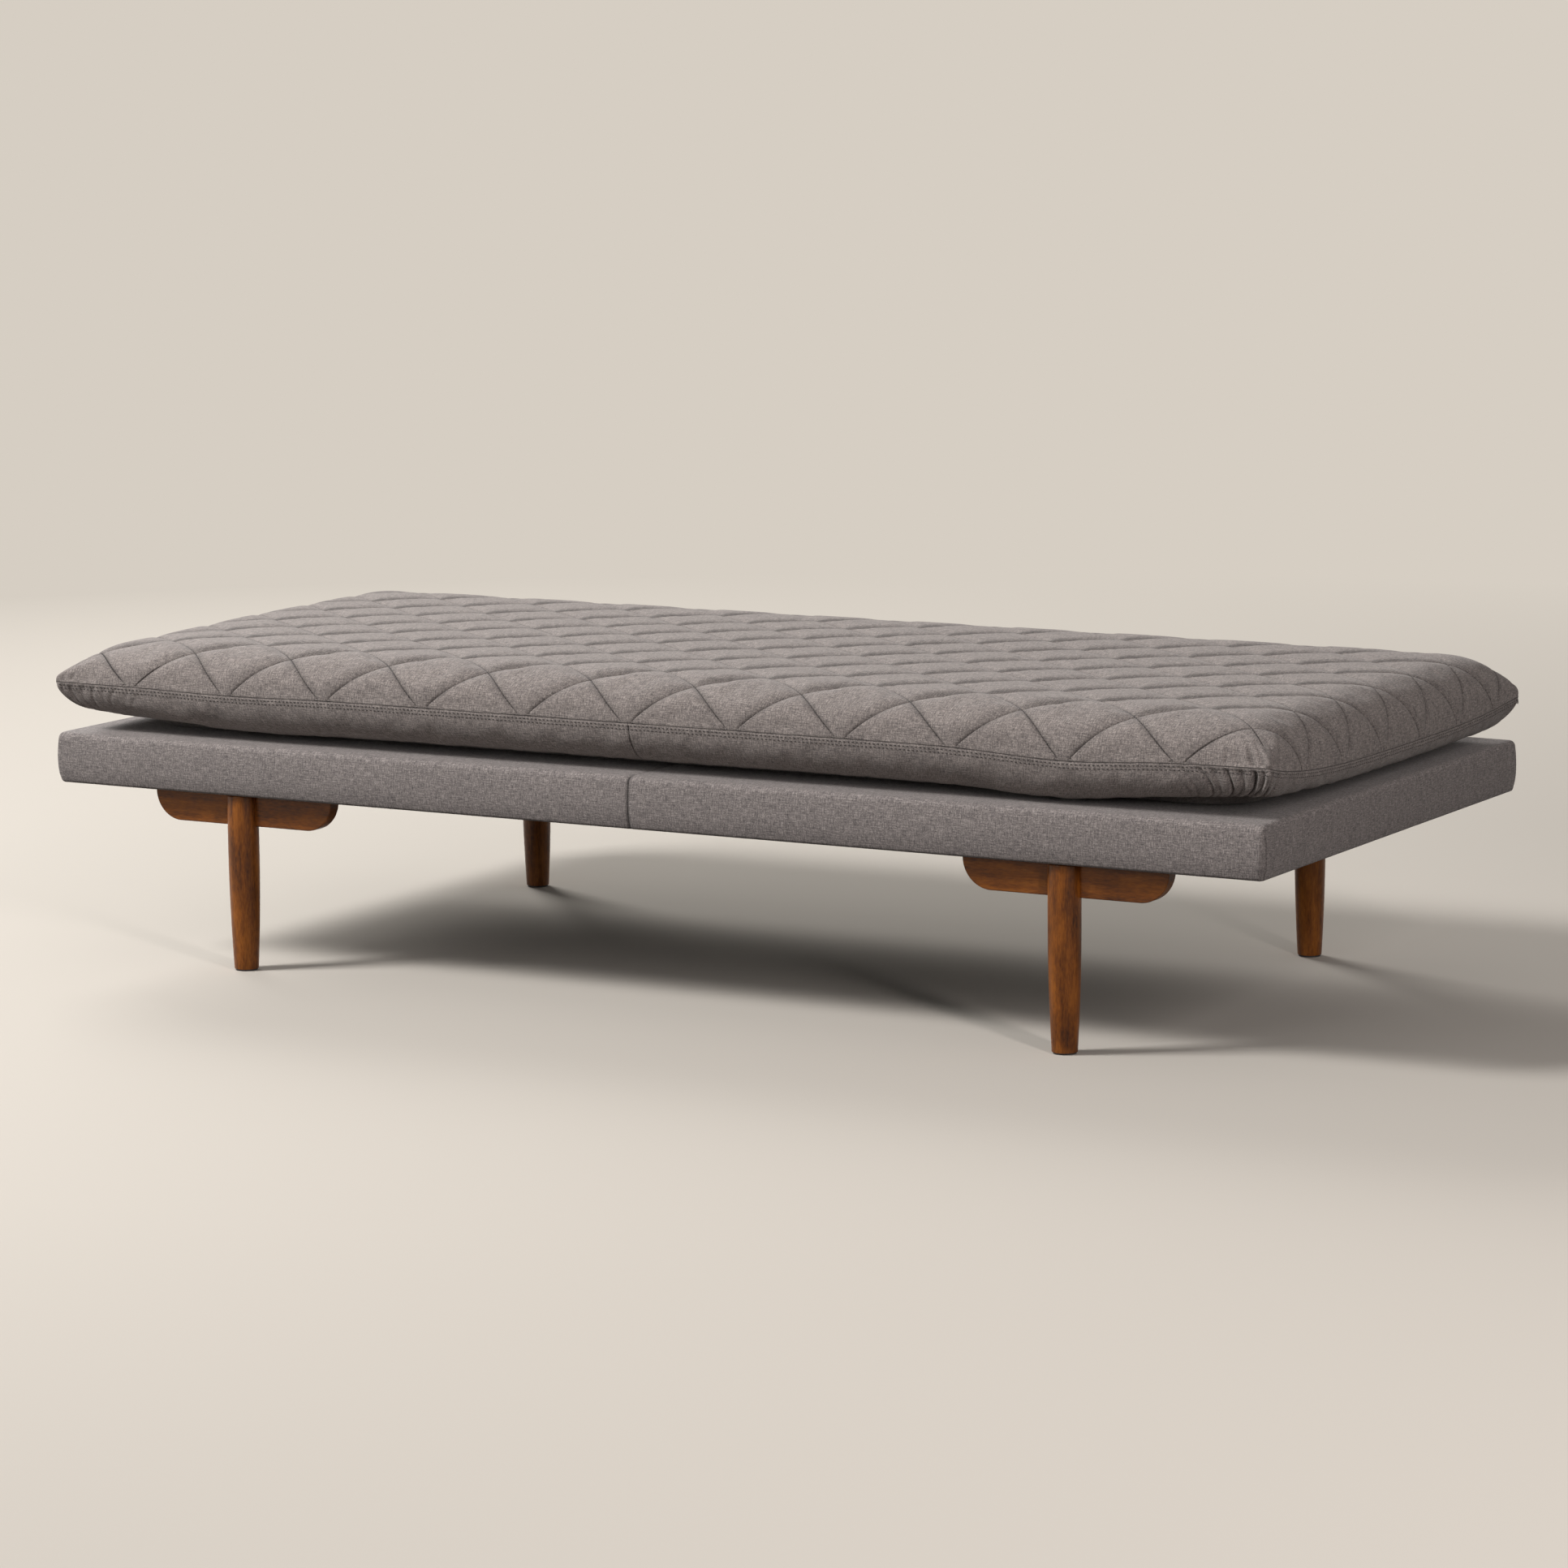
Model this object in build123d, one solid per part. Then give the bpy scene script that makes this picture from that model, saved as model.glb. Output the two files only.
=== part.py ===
from build123d import *
import math
import os

# Daybed: a loose diamond-quilted mattress on an upholstered platform with four turned legs.
# Millimetres. Origin on the floor under the middle, X along the length, front towards -Y, Z up.

# Platform
platform_length = 1800.0
platform_width = 800.0
platform_height = 69.0
platform_clearance = 241.0
platform_edge_radius = 8.0
cover_thickness = 1.5
cover_hem = 72.0
top_padding = 9.0
side_padding = 6.5

# Wooden frame inside the platform
rail_width = 60.0
end_rail_width = 45.0
cross_rail_width = 45.0
cross_rail_count = 3
corner_block_leg = 55.0
corner_block_setback = 5.0
deck_thickness = 12.0
dust_cover_thickness = 1.0

# Legs and brackets
leg_from_end = 283.0
leg_from_side = 31.6
leg_diameter = 42.0
foot_diameter = 32.6
leg_straight_length = 71.0
leg_top_round = 4.0
bracket_length = 285.0
bracket_thickness = 20.0
bracket_height = 44.6
bracket_corner_radius = 40.0
bracket_edge_round = 1.5

# Foot glides
glide_thickness = 2.5
glide_margin = 1.5
glide_pin_diameter = 3.0
glide_pin_length = 12.0

# Bracket bolts, washers and tee nuts
bolt_spacing = 170.0
bolt_diameter = 6.0
bolt_head_diameter = 10.0
bolt_head_height = 6.0
bolt_socket_width = 5.0
bolt_socket_depth = 3.0
bolt_tip_setback = 2.5
counterbore_depth = 14.0
washer_diameter = 12.0
washer_thickness = 1.2
tee_flange_diameter = 19.0
tee_flange_thickness = 1.5
tee_barrel_diameter = 8.0
tee_barrel_length = 9.0

# Wood screws
leg_screw_spacing = 22.0
leg_screw_bite = 12.0
leg_screw_diameter = 4.5
frame_screw_bite = 50.0
frame_screw_diameter = 6.0
deck_screw_count = 6
deck_screw_bite = 16.0
deck_screw_diameter = 4.0
screw_head_ratio = 2.0

# Mattress
mattress_end_overhang = 2.0
mattress_side_setback = 10.0
mattress_height = 120.0
seam_height = 62.0
mattress_crown = 3.0
mattress_corner_radius = 27.0
side_draw_in = 5.0
quilt_columns = 12
quilt_rows = 7
quilt_puff = 11.0
edge_puff = 4.0
seam_scallop = 2.0
quilt_thickness = 20.0
border_wall = 5.0
border_sections = 5
bottom_seam_height = 12.0
bottom_seam_inset = 40.0
bottom_contact_inset = 90.0
panel_thickness = 3.0
core_side_step = 15.0

# Fits
hole_clearance = 0.3
sheet_clearance = 0.5
core_clearance = 2.0

# Levels and outlines worked out from the sizes above
platform_top = platform_clearance + platform_height
frame_bottom = platform_clearance + cover_thickness
frame_length = platform_length - 2 * (cover_thickness + side_padding)
frame_width = platform_width - 2 * (cover_thickness + side_padding)
padding_top = platform_top - cover_thickness
deck_top = padding_top - top_padding
rail_top = deck_top - deck_thickness
rail_height = rail_top - frame_bottom
clear_width = frame_width - 2 * rail_width
clear_length = frame_length - 2 * end_rail_width
leg_x = platform_length / 2 - leg_from_end
leg_y = platform_width / 2 - leg_from_side
leg_radius = leg_diameter / 2
bracket_bottom = platform_clearance - bracket_height
bolt_seat = bracket_bottom + counterbore_depth
tee_bore = bolt_diameter + hole_clearance
mattress_half_length = platform_length / 2 + mattress_end_overhang
mattress_half_width = platform_width / 2 - mattress_side_setback
seam_level = platform_top + seam_height
bottom_seam_level = platform_top + bottom_seam_height
edge_round = mattress_height - seam_height

leg_places = {
    "front_left": Location((-leg_x, -leg_y, 0)),
    "front_right": Location((leg_x, -leg_y, 0)),
    "rear_left": Location((-leg_x, leg_y, 0), (0, 0, 180)),
    "rear_right": Location((leg_x, leg_y, 0), (0, 0, 180)),
}
cross_step = clear_length / (cross_rail_count + 1)
cross_x = [cross_step * (index + 1) - clear_length / 2 for index in range(cross_rail_count)]
end_x = (frame_length - end_rail_width) / 2
deck_step = frame_length / deck_screw_count
deck_screw_x = [deck_step * (index + 0.5) - frame_length / 2 for index in range(deck_screw_count)]


def upright_box(length, width, bottom, top, x=0.0, y=0.0):
    return Pos(x, y, (bottom + top) / 2) * Box(length, width, top - bottom)


def upright_cylinder(diameter, bottom, top, x=0.0, y=0.0):
    return Pos(x, y, (bottom + top) / 2) * Cylinder(diameter / 2, top - bottom)


def countersunk_screw(diameter, length):
    # Head face at the origin, shank along -Z, with a pointed end
    radius = diameter / 2
    head_radius = radius * screw_head_ratio
    cone = head_radius - radius
    with BuildPart() as screw:
        with BuildSketch(Plane.XZ):
            with BuildLine():
                Polyline(
                    (0, 0), (head_radius, 0), (radius, -cone),
                    (radius, -(length - diameter)), (0, -length), (0, 0),
                )
            make_face()
        revolve(axis=Axis.Z)
    return screw.part


def screw_hole(diameter, length):
    # The room that such a screw takes in the pieces it joins
    return countersunk_screw(diameter + hole_clearance, length + hole_clearance)


# Legs: a turned profile, straight at the top and drawn in to the foot along an arc
def leg():
    foot_radius = foot_diameter / 2
    straight_end = platform_clearance - leg_straight_length
    with BuildPart() as turned:
        with BuildSketch(Plane.XZ):
            with BuildLine():
                top = Line((0, platform_clearance), (leg_radius, platform_clearance))
                side = Line(top @ 1, (leg_radius, straight_end))
                taper = TangentArc(side @ 1, (foot_radius, glide_thickness), tangent=(0, -1))
                foot = Line(taper @ 1, (0, glide_thickness))
                Line(foot @ 1, top @ 0)
            make_face()
        revolve(axis=Axis.Z)
        fillet(turned.edges().filter_by(GeomType.CIRCLE).sort_by(Axis.Z)[-1], leg_top_round)
    notch = upright_box(leg_diameter, leg_radius, bracket_bottom, platform_clearance, 0, leg_radius / 2)
    pin_hole = upright_cylinder(
        glide_pin_diameter + hole_clearance, 0, glide_thickness + glide_pin_length + hole_clearance
    )
    return turned.part - notch - pin_hole - leg_screw_group(screw_hole)


# Brackets: a board behind each leg with its two lower corners rounded
def bracket():
    with BuildPart() as board:
        with BuildSketch(Plane.XZ.offset(-bracket_thickness)):
            with Locations((0, bracket_bottom + bracket_height / 2)):
                outline = Rectangle(bracket_length, bracket_height)
            fillet(outline.vertices().group_by(Axis.Y)[0], bracket_corner_radius)
        extrude(amount=bracket_thickness)
        lower_edges = board.edges().filter_by(
            lambda edge: edge.center().Z < platform_clearance - bracket_edge_round
            and abs(edge.tangent_at(0.5).Y) < 0.5
        )
        fillet(lower_edges, bracket_edge_round)
    body = board.part
    for x in bolt_offsets():
        body -= upright_cylinder(bolt_diameter + hole_clearance, bracket_bottom, platform_clearance, x, bolt_y())
        body -= upright_cylinder(washer_diameter + hole_clearance, bracket_bottom, bolt_seat, x, bolt_y())
    return body - leg_screw_group(screw_hole)


def bolt_offsets():
    return (-bolt_spacing / 2, bolt_spacing / 2)


def bolt_y():
    return bracket_thickness / 2


def leg_screw_group(make):
    # Two screws through the bracket into the leg, heads flush with the inner face
    middle = bracket_bottom + bracket_height / 2
    length = bracket_thickness + leg_screw_bite
    rows = (-leg_screw_spacing / 2, leg_screw_spacing / 2)
    screw = make(leg_screw_diameter, length)
    return [Pos(0, bracket_thickness, middle + row) * Rot(-90, 0, 0) * screw for row in rows]


def glide():
    disc = upright_cylinder(foot_diameter - 2 * glide_margin, 0, glide_thickness)
    pin = upright_cylinder(glide_pin_diameter, glide_thickness, glide_thickness + glide_pin_length)
    return disc + pin


# Bracket hardware, in the leg's own place
def bracket_bolt():
    head_top = bolt_seat - washer_thickness
    head_bottom = head_top - bolt_head_height
    shank = upright_cylinder(bolt_diameter, head_top, rail_top - bolt_tip_setback)
    head = upright_cylinder(bolt_head_diameter, head_bottom, head_top)
    hexagon = RegularPolygon(bolt_socket_width / 2, 6, major_radius=False)
    socket = extrude(Pos(0, 0, head_bottom) * hexagon, amount=bolt_socket_depth)
    return head + shank - socket


def bracket_washer():
    ring = upright_cylinder(washer_diameter, bolt_seat - washer_thickness, bolt_seat)
    return ring - upright_cylinder(bolt_diameter + hole_clearance, bolt_seat - washer_thickness, bolt_seat)


def tee_nut():
    flange_bottom = rail_top - tee_flange_thickness
    flange = upright_cylinder(tee_flange_diameter, flange_bottom, rail_top)
    barrel = upright_cylinder(tee_barrel_diameter, flange_bottom - tee_barrel_length, flange_bottom)
    return flange + barrel - upright_cylinder(tee_bore, flange_bottom - tee_barrel_length, rail_top)


def at_every_bolt(shape):
    places = leg_places.values()
    return [place * Pos(x, bolt_y(), 0) * shape for place in places for x in bolt_offsets()]


def bolt_passage():
    # Bolt hole through the frame, opened out at the top for the tee nut
    flange_bottom = rail_top - tee_flange_thickness
    barrel_bottom = flange_bottom - tee_barrel_length - hole_clearance
    hole = upright_cylinder(bolt_diameter + hole_clearance, platform_clearance, barrel_bottom)
    barrel = upright_cylinder(tee_barrel_diameter + hole_clearance, barrel_bottom, flange_bottom)
    flange = upright_cylinder(tee_flange_diameter + hole_clearance, flange_bottom, rail_top)
    return hole + barrel + flange


# Frame: long rails, end rails and cross rails between them, screwed through the long rails
def frame_screw_group(make):
    length = rail_width + frame_screw_bite
    level = frame_bottom + rail_height / 2
    screw = make(frame_screw_diameter, length)
    front = Rot(90, 0, 0) * screw
    rear = Rot(-90, 0, 0) * screw
    stations = [-end_x, *cross_x, end_x]
    return [
        Pos(x, side * frame_width / 2, level) * turned
        for x in stations
        for side, turned in ((-1, front), (1, rear))
    ]


def deck_screw_group(make):
    length = deck_thickness + deck_screw_bite
    y = (frame_width - rail_width) / 2
    screw = make(deck_screw_diameter, length)
    return [Pos(x, side * y, deck_top) * screw for x in deck_screw_x for side in (-1, 1)]


def long_rail(side):
    y = side * (frame_width - rail_width) / 2
    rail = upright_box(frame_length, rail_width, frame_bottom, rail_top, 0, y)
    cuts = at_every_bolt(bolt_passage()) + frame_screw_group(screw_hole) + deck_screw_group(screw_hole)
    return rail - cuts


def short_rail(width, x):
    rail = upright_box(width, clear_width, frame_bottom, rail_top, x)
    return rail - frame_screw_group(screw_hole)


def corner_blocks():
    corner = Polyline((0, 0), (-corner_block_leg, 0), (0, -corner_block_leg), (0, 0))
    height = rail_height - 2 * corner_block_setback
    block = extrude(make_face(corner), amount=height, dir=(0, 0, 1))
    places = []
    for x_side in (-1, 1):
        for y_side in (-1, 1):
            turn = {(1, 1): 0, (-1, 1): 90, (-1, -1): 180, (1, -1): 270}[(x_side, y_side)]
            spot = (x_side * clear_length / 2, y_side * clear_width / 2, frame_bottom + corner_block_setback)
            places.append(Location(spot, (0, 0, turn)) * block)
    return places


def deck():
    board = upright_box(frame_length, frame_width, rail_top, deck_top)
    return board - deck_screw_group(screw_hole)


# Upholstery of the platform
def rounded_block(length, width, bottom, top, radius):
    block = upright_box(length, width, bottom, top)
    return fillet(block.edges(), radius)


def padding():
    inset = 2 * cover_thickness
    outer = rounded_block(
        platform_length - inset, platform_width - inset, frame_bottom, padding_top,
        platform_edge_radius - cover_thickness,
    )
    return outer - upright_box(frame_length, frame_width, frame_bottom, deck_top)


def cover():
    inset = 2 * cover_thickness
    outer = rounded_block(
        platform_length, platform_width, platform_clearance, platform_top, platform_edge_radius
    )
    inner = rounded_block(
        platform_length - inset, platform_width - inset, frame_bottom, padding_top,
        platform_edge_radius - cover_thickness,
    )
    opening = upright_box(
        platform_length - 2 * cover_hem, platform_width - 2 * cover_hem, platform_clearance, frame_bottom
    )
    return outer - inner - opening - at_every_bolt(bolt_passage())


def dust_cover():
    margin = 2 * (cover_hem + sheet_clearance)
    return upright_box(
        platform_length - margin, platform_width - margin, frame_bottom - dust_cover_thickness, frame_bottom
    )


# Mattress outlines: four slightly drawn-in sides joined by corner arcs that widen inwards
def corner_radius(inset):
    return mattress_corner_radius + inset / 2


def corner_ease(radius):
    # How far the middle of a corner arc lies inside its square corner, along each side
    return radius * (1 - math.sqrt(0.5))


def outline(inset, level):
    half_length = mattress_half_length - inset
    half_width = mattress_half_width - inset
    radius = corner_radius(inset)
    ease = corner_ease(radius)
    edges = []
    for x_side, y_side in ((1, -1), (1, 1), (-1, 1), (-1, -1)):
        along = (x_side * (half_length - radius), y_side * half_width, level)
        corner = (x_side * (half_length - ease), y_side * (half_width - ease), level)
        across = (x_side * half_length, y_side * (half_width - radius), level)
        if x_side * y_side < 0:
            start, end = along, across
            middle = (x_side * (half_length - side_draw_in), 0, level)
            next_start = (across[0], -across[1], level)
        else:
            start, end = across, along
            middle = (0, y_side * (half_width - side_draw_in), level)
            next_start = (-along[0], along[1], level)
        edges.append(ThreePointArc(start, corner, end))
        edges.append(ThreePointArc(end, middle, next_start))
    return Face(Wire([edge.edge() for edge in edges]))


# Border: an arc in section, from the seam down and under to the bottom panel
def border():
    drop = seam_height - bottom_seam_height
    radius = (bottom_seam_inset**2 + drop**2) / (2 * bottom_seam_inset)
    sweep_angle = math.asin(drop / radius)
    outer = []
    inner = []
    for index in range(border_sections):
        angle = sweep_angle * index / (border_sections - 1)
        inset = radius * (1 - math.cos(angle))
        level = seam_level - radius * math.sin(angle)
        outer.append(outline(inset, level))
        inner.append(outline(inset + border_wall, level))
    return loft(outer) - loft(inner)


def bottom_panel():
    outer = loft([outline(bottom_contact_inset, platform_top), outline(bottom_seam_inset, bottom_seam_level)])
    inner = loft([
        outline(bottom_contact_inset + panel_thickness, platform_top + panel_thickness),
        outline(bottom_seam_inset + panel_thickness, bottom_seam_level),
    ])
    return outer - inner


# Foam core: flat faces, parallel to the quilted layer above and clear of the border
def core():
    reach = edge_round - quilt_thickness
    bevel = reach * (1 - math.tan(math.pi / 8))
    side_inset = quilt_thickness
    floor_level = platform_top + panel_thickness
    floor_inset = bottom_contact_inset + panel_thickness + core_clearance
    floor_inset += corner_ease(corner_radius(floor_inset))
    levels = (
        (floor_level, floor_inset),
        (seam_level - core_side_step, side_inset),
        (seam_level + reach - bevel, side_inset),
        (seam_level + reach, side_inset + bevel),
    )
    sections = []
    for level, inset in levels:
        sides = (2 * (mattress_half_length - inset), 2 * (mattress_half_width - inset))
        sections.append(Pos(0, 0, level) * Rectangle(*sides))
    return loft(sections, ruled=True)


# Quilted top: the flat panel bends down to the seam over a quarter round on all four sides.
# A stitched line runs from each seam node to the next, and each diamond between lines swells.
def fold(step, count, half_size):
    flat = half_size - edge_round
    run = abs(step) / count * (flat + edge_round * math.pi / 2)
    angle = max(0.0, run - flat) / edge_round
    reach = min(run, flat) + edge_round * math.sin(angle)
    return math.copysign(reach, step), math.copysign(angle, step)


def quilt_point(column, row, swell=0.0):
    x, x_angle = fold(column, quilt_columns, mattress_half_length)
    y, y_angle = fold(row, quilt_rows, mattress_half_width)
    x_share = x / mattress_half_length
    y_share = y / mattress_half_width
    rise = math.cos(x_angle) * math.cos(y_angle)
    bow = mattress_crown * (1 - x_share**2) * (1 - y_share**2)
    ease = corner_ease(mattress_corner_radius) * (x_share * y_share) ** quilt_columns
    x -= math.copysign(side_draw_in * x_share**2 * (1 - y_share**2) + ease, x)
    y -= math.copysign(side_draw_in * y_share**2 * (1 - x_share**2) + ease, y)
    place = Vector(x, y, seam_level + edge_round * rise + bow)
    outward = Vector(
        math.sin(x_angle) * math.cos(y_angle), math.sin(y_angle) * math.cos(x_angle), rise
    )
    if swell:
        place += outward.normalized() * swell
    return place


def seam_middle(column, row):
    # A seam point between two nodes, where the filling pushes the fabric out a little
    outward = Vector(column // quilt_columns if abs(column) == quilt_columns else 0, 0, 0)
    if abs(row) == quilt_rows:
        outward = Vector(0, row // quilt_rows, 0)
    return quilt_point(column, row) + outward * seam_scallop


def patch_through(grid):
    # Smooth face through three rows of three points
    def controls(start, middle, end):
        return [start, middle * 2 - (start + end) * 0.5, end]

    rows = [controls(*row) for row in grid]
    columns = [controls(*column) for column in zip(*rows)]
    return Face.make_bezier_surface(columns)


def diamond(column, row):
    half = 0.5
    return patch_through([
        [quilt_point(column - 1, row), quilt_point(column - half, row - half), quilt_point(column, row - 1)],
        [
            quilt_point(column - half, row + half),
            quilt_point(column, row, quilt_puff),
            quilt_point(column + half, row - half),
        ],
        [quilt_point(column, row + 1), quilt_point(column + half, row + half), quilt_point(column + 1, row)],
    ])


def seam_triangle(column, row, inward):
    # Half a diamond between two seam nodes, with its point towards the middle of the panel
    across = (inward[1], inward[0])
    half = 0.5

    def spot(side, depth):
        return column + side * across[0] + depth * inward[0], row + side * across[1] + depth * inward[1]

    left = quilt_point(*spot(-1, 0))
    right = quilt_point(*spot(1, 0))
    middle = seam_middle(column, row)
    return patch_through([
        [left, quilt_point(*spot(-half, half)), quilt_point(*spot(0, 1))],
        [(left + middle) * half, quilt_point(*spot(0, half), edge_puff), quilt_point(*spot(half, half))],
        [middle, (middle + right) * half, right],
    ])


def seam_loop():
    # Points round the seam: nodes and the points between them, taken in turn
    along = range(-quilt_columns, quilt_columns)
    across = range(-quilt_rows, quilt_rows)
    steps = [(column, -quilt_rows) for column in along]
    steps += [(quilt_columns, row) for row in across]
    steps += [(-column, quilt_rows) for column in along]
    steps += [(-quilt_columns, -row) for row in across]
    return [quilt_point(*step) if is_node(*step) else seam_middle(*step) for step in steps]


def is_node(column, row):
    return (column + row + quilt_columns + quilt_rows) % 2 == 0


def quilted_top():
    faces = []
    for column in range(1 - quilt_columns, quilt_columns):
        for row in range(1 - quilt_rows, quilt_rows):
            if not is_node(column, row):
                faces.append(diamond(column, row))
    for side in (-1, 1):
        for column in range(1 - quilt_columns, quilt_columns, 2):
            faces.append(seam_triangle(column, side * quilt_rows, (0, -side)))
        for row in range(1 - quilt_rows, quilt_rows, 2):
            faces.append(seam_triangle(side * quilt_columns, row, (-side, 0)))
    faces.append(Face(Wire.make_polygon(seam_loop())))
    return Solid(Shell(faces)) - core()


def place_legs(nodes):
    for name, place in leg_places.items():
        nodes[f"leg_{name}"] = place * leg()
        nodes[f"leg_bracket_{name}"] = place * bracket()
        nodes[f"foot_glide_{name}"] = place * glide()
    screws = leg_screw_group(countersunk_screw)
    nodes["leg_screws"] = [place * screw for place in leg_places.values() for screw in screws]
    nodes["bracket_bolts"] = at_every_bolt(bracket_bolt())
    nodes["bracket_washers"] = at_every_bolt(bracket_washer())
    nodes["tee_nuts"] = at_every_bolt(tee_nut())


def place_platform(nodes):
    nodes["front_rail"] = long_rail(-1)
    nodes["rear_rail"] = long_rail(1)
    nodes["left_end_rail"] = short_rail(end_rail_width, -end_x)
    nodes["right_end_rail"] = short_rail(end_rail_width, end_x)
    for index, x in enumerate(cross_x):
        nodes[f"cross_rail_{index + 1}"] = short_rail(cross_rail_width, x)
    nodes["frame_screws"] = frame_screw_group(countersunk_screw)
    nodes["corner_blocks"] = corner_blocks()
    nodes["deck_panel"] = deck()
    nodes["deck_screws"] = deck_screw_group(countersunk_screw)
    nodes["platform_padding"] = padding()
    nodes["platform_cover"] = cover()
    nodes["dust_cover"] = dust_cover()


def place_mattress(nodes):
    nodes["mattress_quilted_top"] = quilted_top()
    nodes["mattress_border"] = border()
    nodes["mattress_bottom_panel"] = bottom_panel()
    nodes["mattress_foam_core"] = core()


def main():
    os.makedirs("parts", exist_ok=True)
    nodes = {}
    place_legs(nodes)
    place_platform(nodes)
    place_mattress(nodes)
    for name, shape in nodes.items():
        solids = shape if isinstance(shape, list) else [shape]
        export_step(Compound(children=solids) if len(solids) > 1 else solids[0], f"parts/{name}.step")


main()
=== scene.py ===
import math

import bpy
import numpy as np
from mathutils import Matrix, Vector


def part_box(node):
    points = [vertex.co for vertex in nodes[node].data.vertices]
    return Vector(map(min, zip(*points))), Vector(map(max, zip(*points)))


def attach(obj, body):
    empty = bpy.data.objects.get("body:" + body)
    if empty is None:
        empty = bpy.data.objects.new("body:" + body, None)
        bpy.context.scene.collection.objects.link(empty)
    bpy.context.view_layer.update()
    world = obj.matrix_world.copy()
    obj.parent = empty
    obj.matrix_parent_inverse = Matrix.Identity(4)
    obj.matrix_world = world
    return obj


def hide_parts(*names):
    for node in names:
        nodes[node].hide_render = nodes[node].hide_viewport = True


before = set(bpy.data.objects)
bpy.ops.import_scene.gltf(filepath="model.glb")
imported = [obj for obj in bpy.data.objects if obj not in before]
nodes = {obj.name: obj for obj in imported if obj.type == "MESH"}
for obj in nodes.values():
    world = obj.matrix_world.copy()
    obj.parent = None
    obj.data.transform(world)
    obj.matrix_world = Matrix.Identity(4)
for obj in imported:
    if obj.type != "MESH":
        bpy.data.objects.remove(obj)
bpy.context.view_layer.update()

mm = 0.001
bpy.context.scene.view_settings.view_transform = "Standard"
print("frame loaded:", len(nodes), "nodes")


# Small helpers for modelling

def makeActive(obj):
    bpy.ops.object.select_all(action="DESELECT")
    obj.select_set(True)
    bpy.context.view_layer.objects.active = obj


def namedActive(name):
    obj = bpy.context.object
    obj.name = name
    obj.data.name = name
    return obj


def addObject(name, data):
    obj = bpy.data.objects.new(name, data)
    bpy.context.scene.collection.objects.link(obj)
    return obj


def addMesh(name, points, faces):
    mesh = bpy.data.meshes.new(name)
    mesh.from_pydata(points.tolist(), [], faces)
    return addObject(name, mesh)


def applyModifier(obj, kind, settings):
    makeActive(obj)
    modifier = obj.modifiers.new(kind.title(), kind)
    for name, value in settings.items():
        setattr(modifier, name, value)
    bpy.ops.object.modifier_apply(modifier=modifier.name)


def shadeSmooth(obj):
    makeActive(obj)
    bpy.ops.object.shade_smooth()


def enterEdit():
    bpy.ops.object.mode_set(mode="EDIT")


def leaveEdit():
    bpy.ops.object.mode_set(mode="OBJECT")


def clearPicks(obj, domain):
    makeActive(obj)
    enterEdit()
    bpy.ops.mesh.select_mode(type=domain)
    bpy.ops.mesh.select_all(action="DESELECT")
    leaveEdit()


def editWhole(obj):
    clearPicks(obj, "FACE")
    enterEdit()
    bpy.ops.mesh.select_all(action="SELECT")


def editPicked(obj, domain, picked):
    clearPicks(obj, domain)
    parts = obj.data.edges if domain == "EDGE" else obj.data.polygons
    parts.foreach_set("select", picked)
    enterEdit()


def readAll(items, name, width=1, kind=float):
    flat = np.empty(len(items) * width, kind)
    items.foreach_get(name, flat)
    return flat.reshape(-1, width) if width > 1 else flat


def readPoints(obj):
    return readAll(obj.data.vertices, "co", 3)


def readNormals(obj):
    return readAll(obj.data.vertices, "normal", 3)


def faceCentres(obj):
    return readAll(obj.data.polygons, "center", 3)


def edgeEnds(obj):
    return readAll(obj.data.edges, "vertices", 2, int)


def writePoints(obj, points):
    obj.data.vertices.foreach_set("co", points.ravel())
    obj.data.update()


def sinkPoints(obj, depths):
    writePoints(obj, readPoints(obj) - readNormals(obj) * depths[:, None])


def startPaintedShade(obj, values):    # how much painted shade darkens the cloth's colour at a point, from 0 to 1
    obj.data.attributes.new("fold", "FLOAT", "POINT").data.foreach_set("value", values)


# adds painted shade where the new values are darker, keeping the darker of old and new
def deepenPaintedShade(obj, values):
    fold = obj.data.attributes["fold"].data
    fold.foreach_set("value", np.maximum(readAll(fold, "value"), values))


def ease(limits, value):
    low, high = limits
    t = np.clip((value - low) / (high - low), 0, 1)
    return t * t * (3 - 2 * t)


def growing(start, limits, value):    # from the start's share to the whole
    return start + (1 - start) * ease(limits, value)


def unit(vectors):
    return vectors / np.linalg.norm(vectors, axis=-1, keepdims=True)


def hand(obj, body, material):
    obj.data.materials.clear()
    obj.data.materials.append(material)
    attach(obj, body)


# Shading: a wire is a socket, and sums of wires add their nodes

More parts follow.
